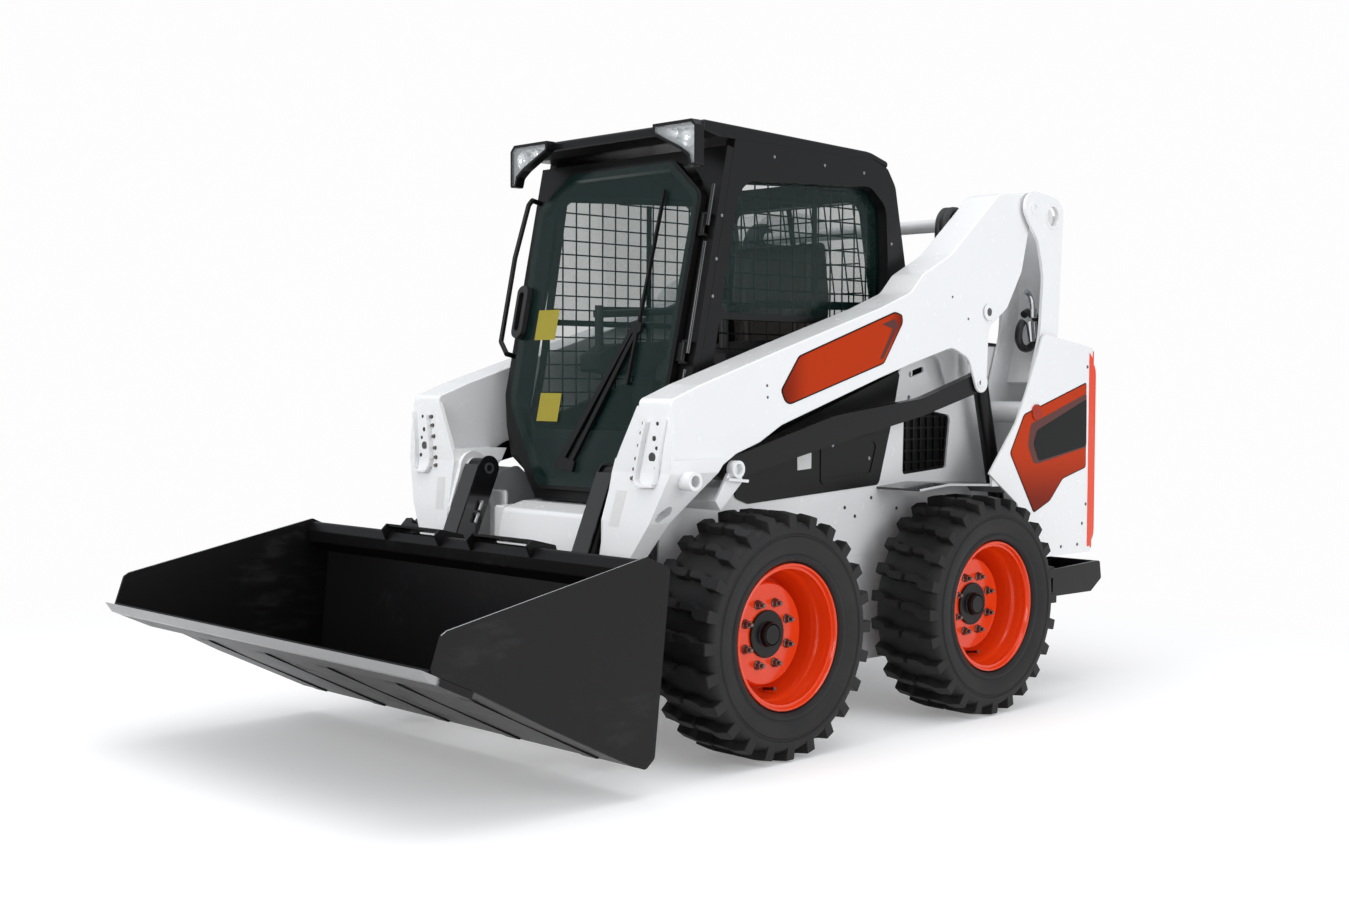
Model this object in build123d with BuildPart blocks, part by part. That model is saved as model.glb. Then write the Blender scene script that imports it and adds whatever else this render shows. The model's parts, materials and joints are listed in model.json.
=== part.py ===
"""Skid steer loader with a vertical-lift arm and a rolled-back dirt bucket.

Millimetres. +Z is up, the bucket points along -Y, and +X is the machine's left side.
Side outlines are drawn as (distance behind the front axle, height above the floor).
Points that belong to the rear of the machine are measured from the rear axle.
"""
import os
from math import cos, hypot, radians, sin

from build123d import *

os.makedirs("parts", exist_ok=True)

# ---------------------------------------------------------------- driving dimensions
WHEELBASE = 1067.0
AXLE_HEIGHT = 385.0
REACH_AHEAD = 1398.0                      # cutting edge tip, ahead of the front axle
REACH_BEHIND = WHEELBASE + 910.0          # rear bumper, behind the front axle
FRONT_AXLE_Y = (REACH_AHEAD - REACH_BEHIND) / 2
SEAT_GAP = 0.3                            # between a piece and what it is fastened to
RUNNING = 0.05                            # radial clearance of a pin in its eye
SIDE_CLEARANCE = 6.0                      # between moving plates
WALL = 8.0

# widths, outwards from the centre plane
BODY_HALF = 485.0                         # outer face of the inner side walls
TOWER_PLATE = 12.0
TOWER_INNER_X = BODY_HALF + SIDE_CLEARANCE
ARM_INNER_X = TOWER_INNER_X + TOWER_PLATE + 8
ARM_WIDTH = 143.0
ARM_OUTER_X = ARM_INNER_X + ARM_WIDTH
ARM_PLATE = 10.0
TOWER_OUTER_X = ARM_OUTER_X + 14 + TOWER_PLATE
PANEL_INNER_X = TOWER_OUTER_X + 8         # inner face of the outer rear panels
PANEL_OUTER_X = PANEL_INNER_X + WALL
LEG_INNER_X = ARM_INNER_X - 111
LEG_WIDTH = 130.0
LEG_OUTER_X = LEG_INNER_X + LEG_WIDTH
LEG_BOSS = 12.0

# wheels
TYRE_RADIUS = AXLE_HEIGHT
TYRE_WIDTH = 264.0
TYRE_INNER_X = BODY_HALF + 89
TYRE_OUTER_X = TYRE_INNER_X + TYRE_WIDTH
TYRE_SHOULDER = 30.0
BEAD_RADIUS = 209.0
RIM_FLANGE_RADIUS = 228.0
RIM_FACE_X = TYRE_OUTER_X - 15
RIM_BACK_X = TYRE_INNER_X + 15
RIM_WALL = 8.0
DISC_X = RIM_FACE_X - 98                  # mounting face of the wheel disc
DISC_THICKNESS = 12.0
DISC_RADIUS = 160.0
WHEEL_BOLTS = 8
WHEEL_PCD = 203.2
WHEEL_BOLT_RADIUS = 8.0
HUB_CAP_RADIUS = 74.0
AXLE_RADIUS = 55.0
SPINDLE_RADIUS = 30.0

# lower frame
BELLY_Z = 190.0
TUB_TOP_Z = 560.0
TUB_FRONT = -230.0
TUB_REAR = WHEELBASE + 573
NOSE_HALF = 235.0
FRAME_REAR = WHEELBASE + 813
HOOD_Z = 1304.0

# cylinders, placed between the plates beside them
PIN_RADIUS = 20.0
LIFT_BARREL_RADIUS = 34.0
LIFT_ROD_RADIUS = 19.0
TILT_BARREL_RADIUS = 33.0
TILT_ROD_RADIUS = 17.5
LIFT_CYLINDER_X = ARM_INNER_X + ARM_PLATE + SIDE_CLEARANCE + LIFT_BARREL_RADIUS
TILT_CYLINDER_X = LEG_INNER_X - LEG_BOSS - 9 - TILT_BARREL_RADIUS
CONTROL_LINK_X = LIFT_CYLINDER_X + LIFT_BARREL_RADIUS + SIDE_CLEARANCE
CONTROL_LINK_THICK = ARM_OUTER_X - ARM_PLATE - SIDE_CLEARANCE - 1 - CONTROL_LINK_X

# pivots as (behind the front axle, height)
LINK_BASE = (WHEELBASE + 433, 1058.0)     # rear link on the frame
ARM_PIVOT = (WHEELBASE + 428, 1817.0)     # rear link on the arm
CONTROL_BASE = (-65.0, 896.0)             # control link on the frame
KNEE = (WHEELBASE + 152, 1167.0)          # control link's eye at the arm's knee
LIFT_EYE = (WHEELBASE + 200, 1425.0)      # lift cylinder's rod on the arm
LIFT_BASE = (WHEELBASE + 413, 600.0)      # lift cylinder's barrel on the frame
TILT_BASE = (-285.0, 868.0)               # tilt cylinder's barrel on the arm
BUCKET_PIVOT = (-455.0, 150.0)            # coupler on the arm
TILT_EYE = (-501.0, 355.0)                # tilt cylinder's rod on the coupler

# bucket
BUCKET_HALF = 863.5
BUCKET_PLATE = 8.0
COUPLER_HALF = 560.0

# cab
CAB_HALF = 465.0
CAB_WALL = 40.0
CAB_TOP_Z = 1950.0
ROOF_Z = 1999.0
BELT_Z = 1378.0
FRONT_SLOPE = 0.2105                      # run of the cab's front per unit of height
FRONT_TOP = (60.0, 1885.0)


# ---------------------------------------------------------------- helpers
def side(x):
    """Plane at x whose sketch axes are (behind the front axle, height)."""
    return Plane(origin=(x, FRONT_AXLE_Y, 0), x_dir=(0, 1, 0), z_dir=(1, 0, 0))


def flat(z):
    """Plane at height z whose sketch axes are (x, behind the front axle)."""
    return Plane(origin=(0, FRONT_AXLE_Y, z))


def outline(*points, mode=Mode.ADD):
    """Straight-sided outline inside a sketch."""
    return Polygon(*points, align=None, mode=mode)


def rounded(*corners, mode=Mode.ADD):
    """Outline inside a sketch whose corners are (u, v, corner radius)."""
    face = Polygon(*[corner[:2] for corner in corners], align=None, mode=Mode.PRIVATE).face()
    for u, v, radius in corners:
        if radius:
            corner = face.vertices().sort_by_distance((u, v, 0))[0]
            face = face.fillet_2d(radius, [corner])
    return add(face, mode=mode)


def front_y(z):
    """Front face of the cab, behind the front axle, at height z."""
    return FRONT_TOP[0] - FRONT_SLOPE * (FRONT_TOP[1] - z)


def write(name, builder):
    """Label a finished sub-part and write it."""
    builder.part.label = name
    export_step(builder.part, f"parts/{name}.step")


# ---------------------------------------------------------------- wheels
WHEELS = [
    # name, side sign, behind the front axle
    ("front_left", 1, 0.0),
    ("front_right", -1, 0.0),
    ("rear_left", 1, WHEELBASE),
    ("rear_right", -1, WHEELBASE),
]


def wheel_plane(sign, axle):
    """Plane whose sketch axes are (outboard distance, radius) of a wheel."""
    return Plane(origin=(0, FRONT_AXLE_Y + axle, AXLE_HEIGHT), x_dir=(sign, 0, 0), z_dir=(0, -sign, 0))


BEAD_WIDTH = 12.0
BELL_RADIUS = DISC_RADIUS + 8
BELL_FOOT_X = DISC_X - 62
RIM_INNER_RADIUS = BEAD_RADIUS - RIM_WALL
for name, sign, axle in WHEELS:
    axle_line = Axis((0, FRONT_AXLE_Y + axle, AXLE_HEIGHT), (1, 0, 0))
    with BuildPart() as tyre:
        with BuildSketch(wheel_plane(sign, axle)):
            outline(
                (RIM_BACK_X + BEAD_WIDTH, BEAD_RADIUS),
                (RIM_BACK_X + BEAD_WIDTH, RIM_FLANGE_RADIUS + SEAT_GAP),
                (TYRE_INNER_X + 6, RIM_FLANGE_RADIUS + 14),
                (TYRE_INNER_X, TYRE_RADIUS - 72),
                (TYRE_INNER_X + 10, TYRE_RADIUS - TYRE_SHOULDER),
                (TYRE_INNER_X + 34, TYRE_RADIUS - 6),
                (TYRE_INNER_X + TYRE_WIDTH / 2, TYRE_RADIUS),
                (TYRE_OUTER_X - 34, TYRE_RADIUS - 6),
                (TYRE_OUTER_X - 10, TYRE_RADIUS - TYRE_SHOULDER),
                (TYRE_OUTER_X, TYRE_RADIUS - 72),
                (TYRE_OUTER_X - 6, RIM_FLANGE_RADIUS + 14),
                (RIM_FACE_X - BEAD_WIDTH, RIM_FLANGE_RADIUS + SEAT_GAP),
                (RIM_FACE_X - BEAD_WIDTH, BEAD_RADIUS),
            )
        revolve(axis=axle_line)
    write(f"{name}_tyre", tyre)

    with BuildPart() as rim:
        with BuildSketch(wheel_plane(sign, axle)):
            # flanges, drop centre and tapered outer wall
            outline(
                (RIM_BACK_X, RIM_FLANGE_RADIUS),
                (RIM_BACK_X + BEAD_WIDTH - SEAT_GAP, RIM_FLANGE_RADIUS),
                (RIM_BACK_X + BEAD_WIDTH - SEAT_GAP, BEAD_RADIUS - SEAT_GAP),
                (RIM_FACE_X - BEAD_WIDTH + SEAT_GAP, BEAD_RADIUS - SEAT_GAP),
                (RIM_FACE_X - BEAD_WIDTH + SEAT_GAP, RIM_FLANGE_RADIUS),
                (RIM_FACE_X - 2, RIM_FLANGE_RADIUS),
                (RIM_FACE_X, RIM_FLANGE_RADIUS - 3),
                (RIM_FACE_X - 3, RIM_FLANGE_RADIUS - 8),
                (RIM_FACE_X - 12, RIM_INNER_RADIUS),
                (DISC_X + 38, RIM_INNER_RADIUS - 2),
                (DISC_X + 24, RIM_INNER_RADIUS - 10),
                (BELL_FOOT_X, RIM_INNER_RADIUS - 12),
                (BELL_FOOT_X - 20, RIM_INNER_RADIUS),
                (RIM_BACK_X + 6, RIM_INNER_RADIUS),
                (RIM_BACK_X, RIM_FLANGE_RADIUS - 6),
            )
            # bell-shaped disc welded to the drop centre
            rounded(
                (DISC_X, HUB_CAP_RADIUS, 0),
                (DISC_X, DISC_RADIUS, 9),
                (DISC_X - 20, BELL_RADIUS, 0),
                (BELL_FOOT_X + DISC_THICKNESS, BELL_RADIUS + 4, 0),
                (BELL_FOOT_X + DISC_THICKNESS, RIM_INNER_RADIUS - 11, 0),
                (BELL_FOOT_X, RIM_INNER_RADIUS - 11, 0),
                (BELL_FOOT_X, BELL_RADIUS - 6, 0),
                (DISC_X - DISC_THICKNESS, DISC_RADIUS - 8, 0),
                (DISC_X - DISC_THICKNESS, HUB_CAP_RADIUS, 0),
            )
            # hub with its cap
            outline(
                (DISC_X - 30, SPINDLE_RADIUS + RUNNING),
                (DISC_X - 30, HUB_CAP_RADIUS + 14),
                (DISC_X - DISC_THICKNESS, HUB_CAP_RADIUS + 14),
                (DISC_X - DISC_THICKNESS, HUB_CAP_RADIUS),
                (DISC_X + 7, HUB_CAP_RADIUS),
                (DISC_X + 10, HUB_CAP_RADIUS - 3),
                (DISC_X + 14, SPINDLE_RADIUS + 16),
                (DISC_X + 34, SPINDLE_RADIUS + 12),
                (DISC_X + 34, SPINDLE_RADIUS + RUNNING),
            )
        revolve(axis=axle_line)
        disc_centre = (sign * DISC_X, FRONT_AXLE_Y + axle, AXLE_HEIGHT)
        disc_face = Plane(origin=disc_centre, x_dir=(0, 1, 0), z_dir=(sign, 0, 0))
        with BuildSketch(disc_face):
            with PolarLocations(WHEEL_PCD / 2, WHEEL_BOLTS, start_angle=180 / WHEEL_BOLTS):
                Circle(WHEEL_BOLT_RADIUS)
        extrude(amount=-DISC_THICKNESS - 1, mode=Mode.SUBTRACT)
    write(f"{name}_rim", rim)

AXLE_TUBE_END_X = DISC_X - 30 - SIDE_CLEARANCE
AXLE_FLANGE_RADIUS = 105.0
AXLE_FLANGE_THICK = 20.0
SPINDLE_END_X = DISC_X + 30
AXLE_FOOT_X = BODY_HALF + SEAT_GAP
with BuildPart() as axle_tubes:
    for name, sign, axle in WHEELS:
        plane = Plane(
            origin=(sign * AXLE_FOOT_X, FRONT_AXLE_Y + axle, AXLE_HEIGHT),
            x_dir=(0, 1, 0),
            z_dir=(sign, 0, 0),
        )
        for radius, reach in (
            (AXLE_FLANGE_RADIUS, AXLE_FLANGE_THICK),
            (AXLE_RADIUS, AXLE_TUBE_END_X - AXLE_FOOT_X),
            (SPINDLE_RADIUS, SPINDLE_END_X - AXLE_FOOT_X),
        ):
            with BuildSketch(plane):
                Circle(radius)
            extrude(amount=reach)
write("axle_tubes", axle_tubes)

# ---------------------------------------------------------------- lower frame
TUB_BEVEL = 90.0
TUB_BEND = 30.0
with BuildPart() as frame_tub:
    with BuildSketch(side(-BODY_HALF)):
        rounded(
            (TUB_FRONT, TUB_TOP_Z, 0),
            (TUB_FRONT, BELLY_Z + TUB_BEVEL, TUB_BEND),
            (TUB_FRONT + TUB_BEVEL, BELLY_Z, TUB_BEND),
            (TUB_REAR - TUB_BEVEL, BELLY_Z, TUB_BEND),
            (TUB_REAR, BELLY_Z + TUB_BEVEL, TUB_BEND),
            (TUB_REAR, TUB_TOP_Z, 0),
        )
    extrude(amount=2 * BODY_HALF)
    with BuildSketch(side(-BODY_HALF + WALL)):
        rounded(
            (TUB_FRONT + WALL, TUB_TOP_Z + 1, 0),
            (TUB_FRONT + WALL, BELLY_Z + TUB_BEVEL + 3, TUB_BEND - WALL),
            (TUB_FRONT + TUB_BEVEL + 3, BELLY_Z + WALL, TUB_BEND - WALL),
            (TUB_REAR - TUB_BEVEL - 3, BELLY_Z + WALL, TUB_BEND - WALL),
            (TUB_REAR - WALL, BELLY_Z + TUB_BEVEL + 3, TUB_BEND - WALL),
            (TUB_REAR - WALL, TUB_TOP_Z + 1, 0),
        )
    extrude(amount=2 * (BODY_HALF - WALL), mode=Mode.SUBTRACT)
write("frame_tub", frame_tub)

NOSE_FOOT = (TUB_FRONT - SEAT_GAP, 270.0)
NOSE_FACE_Y = -306.0
NOSE_TOP_Z = 758.0 - SEAT_GAP
with BuildPart() as front_panel:
    with BuildSketch(side(-NOSE_HALF)):
        rounded(
            (*NOSE_FOOT, 0),
            (NOSE_FACE_Y, 330, 14),
            (NOSE_FACE_Y, 598, 40),
            (-277, 735, 22),
            (-190, NOSE_TOP_Z, 12),
            (-125, NOSE_TOP_Z, 0),
            (-125, NOSE_TOP_Z - WALL, 0),
            (-188, NOSE_TOP_Z - WALL, 4),
            (-277 + WALL, 735 - WALL, 14),
            (NOSE_FACE_Y + WALL, 598, 32),
            (NOSE_FACE_Y + WALL, 334, 6),
            (NOSE_FOOT[0], NOSE_FOOT[1] + WALL + 2, 0),
        )
    extrude(amount=2 * NOSE_HALF)
    for x in (-NOSE_HALF, NOSE_HALF - WALL):
        with BuildSketch(side(x)):
            outline(
                NOSE_FOOT, (NOSE_FACE_Y + 5, 332), (NOSE_FACE_Y + 5, 598), (-272, 731),
                (NOSE_FOOT[0], 741),
            )
        extrude(amount=WALL)
write("front_panel", front_panel)

CAB_PIVOT = (975.0, 1150.0)      # the cab rests on these bosses and tips back about them for service
CAB_PIVOT_RADIUS = 24.0
GRILLE_OPENING = [
    # behind the front axle, height, corner radius
    (WHEELBASE - 92, 835, 14),
    (WHEELBASE + 165, 852, 14),
    (WHEELBASE + 189, 1046, 20),
    (WHEELBASE + 20, 1072, 30),
    (WHEELBASE - 88, 1050, 16),
]
with BuildPart() as side_frames:
    with BuildSketch(side(BODY_HALF - WALL)):
        rounded(
            (TUB_FRONT, TUB_TOP_Z + SEAT_GAP, 0),
            (TUB_FRONT, 745, 20),
            (-150, 800, 30),
            (-92, 848, 20),
            (-20, 862, 25),
            (60, 800, 40),
            (835, 820, 50),
            (905, 1042, 80),
            (950, 1205, 40),
            (985, 1235, 20),
            (WHEELBASE + 83, 1262, 0),
            (WHEELBASE + 195, 1290, 0),
            (WHEELBASE + 233, HOOD_Z, 0),
            (FRAME_REAR - WALL, HOOD_Z, 0),
            (FRAME_REAR - WALL, TUB_TOP_Z + SEAT_GAP, 0),
        )
        rounded(*GRILLE_OPENING, mode=Mode.SUBTRACT)
        with Locations((WHEELBASE - 18, 1205)):
            SlotOverall(90, 22, rotation=15, mode=Mode.SUBTRACT)
        with Locations((WHEELBASE - 58, 1112)):
            Circle(9, mode=Mode.SUBTRACT)
        with Locations(LINK_BASE, LIFT_BASE):
            Circle(PIN_RADIUS + RUNNING, mode=Mode.SUBTRACT)
    extrude(amount=WALL)
    with BuildSketch(side(CAB_HALF + SEAT_GAP)):
        with Locations(CAB_PIVOT):
            Circle(CAB_PIVOT_RADIUS)
    extrude(amount=BODY_HALF - WALL - CAB_HALF - SEAT_GAP)
    mirror(about=Plane.YZ)
write("side_frames", side_frames)

# outer plates of the rear frame, with the closure behind the link and the deck over the wheel
DOOR_BACK_Y = FRAME_REAR + 8
REAR_DOOR_HALF = PANEL_INNER_X - 10
REAR_DOOR_FOOT = 520.0
REAR_DOOR_TOP = 1296.0
REAR_DOOR_THICK = 36.0
REAR_HINGE_X = -(PANEL_INNER_X - 24)
REAR_HINGE_Y = DOOR_BACK_Y + REAR_DOOR_THICK / 2
REAR_PIN_RADIUS = 8.0
REAR_PIN_REACH = 28.0
PANEL_FOOT_Z = 513.0
ARCH_RADIUS = 428.0
ARCH_TURN = 32.0                 # of the arch's middle point above the axle, degrees
ARCH_START = (WHEELBASE + 320, 723.0)
ARCH_END = (WHEELBASE + (ARCH_RADIUS**2 - (PANEL_FOOT_Z - AXLE_HEIGHT) ** 2) ** 0.5, PANEL_FOOT_Z)
ARCH_MIDDLE = (
    WHEELBASE + ARCH_RADIUS * cos(radians(ARCH_TURN)),
    AXLE_HEIGHT + ARCH_RADIUS * sin(radians(ARCH_TURN)),
)
with BuildPart() as rear_panels:
    with BuildSketch(side(PANEL_INNER_X)):
        with BuildLine():
            Polyline(
                ARCH_END,
                (FRAME_REAR, PANEL_FOOT_Z),
                (FRAME_REAR, HOOD_Z),
                (WHEELBASE + 490, 1350),
                (WHEELBASE + 470, 1338),
            )
            ThreePointArc(
                (WHEELBASE + 470, 1338),
                (WHEELBASE + 387, 1166),
                (WHEELBASE + 305, 1019),
            )
            Polyline(
                (WHEELBASE + 305, 1019),
                (WHEELBASE + 152, 850),
                (WHEELBASE + 144, 838),
                ARCH_START,
            )
            ThreePointArc(ARCH_START, ARCH_MIDDLE, ARCH_END)
        make_face()
        with Locations(LINK_BASE, LIFT_BASE):
            Circle(PIN_RADIUS + RUNNING, mode=Mode.SUBTRACT)
    extrude(amount=WALL)
    # closure at the back and its short top flange
    with BuildSketch(side(BODY_HALF + SEAT_GAP)):
        outline(
            (FRAME_REAR - WALL, PANEL_FOOT_Z),
            (FRAME_REAR, PANEL_FOOT_Z),
            (FRAME_REAR, HOOD_Z),
            (FRAME_REAR - 80, HOOD_Z + 5),
            (FRAME_REAR - 80, HOOD_Z + 5 - WALL),
            (FRAME_REAR - WALL, HOOD_Z - WALL),
        )
    extrude(amount=PANEL_INNER_X - BODY_HALF - SEAT_GAP)
    # deck over the rear wheel
    with BuildSketch(side(BODY_HALF + SEAT_GAP)):
        outline(
            (WHEELBASE - 238, 790), (WHEELBASE - 71, 803), (WHEELBASE + 284, 788), (WHEELBASE + 318, 760),
            (WHEELBASE + 324, 767), (WHEELBASE + 288, 796), (WHEELBASE - 71, 811), (WHEELBASE - 238, 798),
        )
    extrude(amount=PANEL_INNER_X - BODY_HALF - SEAT_GAP - 10)
    with BuildSketch(side(PANEL_INNER_X - 12)):
        outline(
            (WHEELBASE + 173, 792), (WHEELBASE + 284, 788), (WHEELBASE + 318, 760), (WHEELBASE + 324, 767),
            (WHEELBASE + 313, 850), (WHEELBASE + 173, 850),
        )
    extrude(amount=12)
    mirror(about=Plane.YZ)
    # hinge ears of the rear door, below and above it
    for foot, height in (
        (PANEL_FOOT_Z, REAR_DOOR_FOOT - PANEL_FOOT_Z - SEAT_GAP),
        (REAR_DOOR_TOP + SEAT_GAP, HOOD_Z - REAR_DOOR_TOP - SEAT_GAP),
    ):
        with BuildSketch(flat(foot)):
            outline(
                (REAR_HINGE_X - 28, FRAME_REAR - WALL), (REAR_HINGE_X + 24, FRAME_REAR - WALL),
                (REAR_HINGE_X + 14, REAR_HINGE_Y + 14), (REAR_HINGE_X - 14, REAR_HINGE_Y + 14),
            )
        extrude(amount=height)
    for foot in (PANEL_FOOT_Z + 1, REAR_DOOR_TOP - REAR_PIN_REACH):
        with BuildSketch(flat(foot)):
            with Locations((REAR_HINGE_X, REAR_HINGE_Y)):
                Circle(REAR_PIN_RADIUS)
        extrude(amount=REAR_PIN_REACH + 4)
write("rear_panels", rear_panels)

# front brackets on the frame: a plate over the tyre with the tubular ear of the control link
EAR_RADIUS = 27.0
EAR_PIN_RADIUS = 16.0
BRACKET_X = CONTROL_LINK_X + 39
with BuildPart() as front_brackets:
    with BuildSketch(side(BRACKET_X)):
        outline((-150, 800), (-94, 884), (-36, 884), (-30, 856), (-127, 770))
        with Locations(CONTROL_BASE):
            Circle(EAR_RADIUS)
    extrude(amount=10)
    with BuildSketch(side(BODY_HALF + SEAT_GAP)):
        outline((-150, 800), (-92, 836), (-30, 856), (-127, 770))
    extrude(amount=BRACKET_X - BODY_HALF)
    # flange under the ear and the tube that carries the pin
    with BuildSketch(side(BRACKET_X)):
        outline((-108, 862), (-104, 870), (-18, 862), (-20, 853))
    extrude(amount=26)
    with BuildSketch(side(BRACKET_X + 10)):
        with Locations(CONTROL_BASE):
            Circle(EAR_RADIUS)
            Circle(EAR_PIN_RADIUS + 1, mode=Mode.SUBTRACT)
    extrude(amount=18)
    with BuildSketch(side(CONTROL_LINK_X - 8)):
        with Locations(CONTROL_BASE):
            Circle(EAR_PIN_RADIUS)
    extrude(amount=BRACKET_X - CONTROL_LINK_X + 9)
    mirror(about=Plane.YZ)
write("front_brackets", front_brackets)

PIN_CAP_RADIUS = PIN_RADIUS + 10
PIN_CAP_THICK = 6.0
PIN_START_X = BODY_HALF - WALL - 6
with BuildPart() as frame_pins:
    for pivot in (LINK_BASE, LIFT_BASE):
        with BuildSketch(side(PIN_START_X)):
            with Locations(pivot):
                Circle(PIN_RADIUS)
        extrude(amount=PANEL_OUTER_X + PIN_CAP_THICK - PIN_START_X)
        with BuildSketch(side(PANEL_OUTER_X + SEAT_GAP)):
            with Locations(pivot):
                Circle(PIN_CAP_RADIUS)
        extrude(amount=PIN_CAP_THICK)
    mirror(about=Plane.YZ)
write("frame_pins", frame_pins)

SIDE_COVER_THICK = 5.0
with BuildPart() as side_covers:
    with BuildSketch(side(BODY_HALF + SEAT_GAP)):
        rounded(
            (102, 790, 20), (164, 768, 25), (835, 805, 25), (910, 1042, 60), (951, 1210, 12), (109, 933, 20),
        )
    extrude(amount=SIDE_COVER_THICK)
    # pressed rib of the cover's rear half
    with BuildSketch(side(BODY_HALF + SEAT_GAP + SIDE_COVER_THICK)):
        rounded((520, 815, 20), (800, 830, 20), (850, 990, 30), (520, 960, 20))
        rounded((545, 838, 12), (784, 850, 12), (822, 962, 20), (545, 938, 12), mode=Mode.SUBTRACT)
    extrude(amount=3)
    mirror(about=Plane.YZ)
write("side_covers", side_covers)

GRILLE_BARS_ACROSS = 6
GRILLE_BARS_UP = 5
GRILLE_BAR = 5.0
with BuildPart() as side_grilles:
    with BuildSketch(side(BODY_HALF - WALL - SEAT_GAP - 6)):
        outline(
            (WHEELBASE - 112, 818), (WHEELBASE + 185, 836), (WHEELBASE + 209, 1066),
            (WHEELBASE + 20, 1087), (WHEELBASE - 112, 1076),
        )
        outline(
            (WHEELBASE - 82, 845), (WHEELBASE + 157, 860), (WHEELBASE + 177, 1042),
            (WHEELBASE + 20, 1066), (WHEELBASE - 80, 1046), mode=Mode.SUBTRACT,
        )
        for i in range(GRILLE_BARS_ACROSS):
            with Locations((WHEELBASE - 82 + (i + 0.5) * 250 / GRILLE_BARS_ACROSS, 958)):
                Rectangle(GRILLE_BAR, 222)
        for i in range(GRILLE_BARS_UP):
            with Locations((WHEELBASE + 45, 858 + (i + 0.5) * 205 / GRILLE_BARS_UP)):
                Rectangle(274, GRILLE_BAR)
    extrude(amount=6)
    mirror(about=Plane.YZ)
write("side_grilles", side_grilles)

ENGINE_WIDTH = 520.0
ENGINE_LENGTH = 560.0
ENGINE_HEIGHT = 620.0
with BuildPart() as engine_block:
    with BuildSketch(flat(BELLY_Z + WALL + SEAT_GAP)):
        with Locations((0, WHEELBASE + 173)):
            Rectangle(ENGINE_WIDTH, ENGINE_LENGTH)
    extrude(amount=ENGINE_HEIGHT)
write("engine_block", engine_block)

BUMPER_HALF = PANEL_INNER_X
BUMPER_PLATE = 14.0
TIE_SLOT_Z = 415.0
TIE_SLOT_LENGTH = 70.0
TIE_SLOT_HEIGHT = 34.0
TIE_SLOT_INSET = 60.0
with BuildPart() as rear_bumper:
    with BuildSketch(side(-BUMPER_HALF)):
        rounded(
            (TUB_REAR + SEAT_GAP, 459, 0),
            (REACH_BEHIND - 11, 472, 12),
            (REACH_BEHIND, 402, 8),
            (REACH_BEHIND - 73, 356, 12),
            (TUB_REAR + SEAT_GAP, 357, 0),
        )
    extrude(amount=2 * BUMPER_HALF)
    with BuildSketch(side(-BUMPER_HALF + BUMPER_PLATE)):
        outline(
            (TUB_REAR + 20, 500), (REACH_BEHIND - 30, 500), (REACH_BEHIND - 40, 370),
            (TUB_REAR + 20, 370),
        )
    extrude(amount=2 * (BUMPER_HALF - BUMPER_PLATE), mode=Mode.SUBTRACT)
    for x in (-BODY_HALF, BODY_HALF - BUMPER_PLATE):
        with BuildSketch(side(x)):
            outline(
                (TUB_REAR + SEAT_GAP, 372), (REACH_BEHIND - 38, 372), (REACH_BEHIND - 38, 460),
                (TUB_REAR + SEAT_GAP, 455),
            )
        extrude(amount=BUMPER_PLATE)
    # tie-down slots near the ends
    for x in (-BUMPER_HALF + TIE_SLOT_INSET, BUMPER_HALF - TIE_SLOT_INSET):
        slot_middle = (x, FRONT_AXLE_Y + REACH_BEHIND + 20, TIE_SLOT_Z)
        with BuildSketch(Plane(origin=slot_middle, x_dir=(1, 0, 0), z_dir=(0, 1, 0))):
            SlotOverall(TIE_SLOT_LENGTH, TIE_SLOT_HEIGHT)
        extrude(amount=-80, mode=Mode.SUBTRACT)
write("rear_bumper", rear_bumper)

# ---------------------------------------------------------------- cab
ROOF_FRONT = -27.0
SILL_Z = 1000.0
CAB_REAR = 1010.0
CAB_INNER_HALF = CAB_HALF - CAB_WALL
FRONT_FRAME_BACK = 47.0                   # rear face of the front frame behind the cab's front
BELT_HALF = 10.0
with BuildPart() as cab_sides:
    with BuildSketch(side(CAB_INNER_HALF)):
        rounded(
            (front_y(SILL_Z) + FRONT_FRAME_BACK, SILL_Z, 0),
            (front_y(CAB_TOP_Z) + FRONT_FRAME_BACK, CAB_TOP_Z, 0),
            (820, CAB_TOP_Z, 30),
            (900, 1925, 40),
            (945, 1864, 60),
            (CAB_REAR, 1564, 120),
            (CAB_REAR + 8, 1485, 0),
            (CAB_REAR + 8, 1100, 40),
            (900, SILL_Z, 0),
        )
        outline(
            (front_y(SILL_Z) + FRONT_FRAME_BACK, SILL_Z), (900, SILL_Z), (500, 880), (30, 820),
            (-60, 900),
        )
        rounded(
            (146, 1818, 95), (805, 1853, 60), (894, 1789, 70), (906, 1588, 60), (900, BELT_Z + BELT_HALF, 25),
            (56, BELT_Z + BELT_HALF, 25), mode=Mode.SUBTRACT,
        )
        rounded(
            (52, BELT_Z - BELT_HALF, 25), (900, BELT_Z - BELT_HALF, 25), (890, 1290, 30), (120, 1040, 30),
            (-8, 1040, 30), mode=Mode.SUBTRACT,
        )
    extrude(amount=CAB_WALL)
    mirror(about=Plane.YZ)
write("cab_sides", cab_sides)

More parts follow.
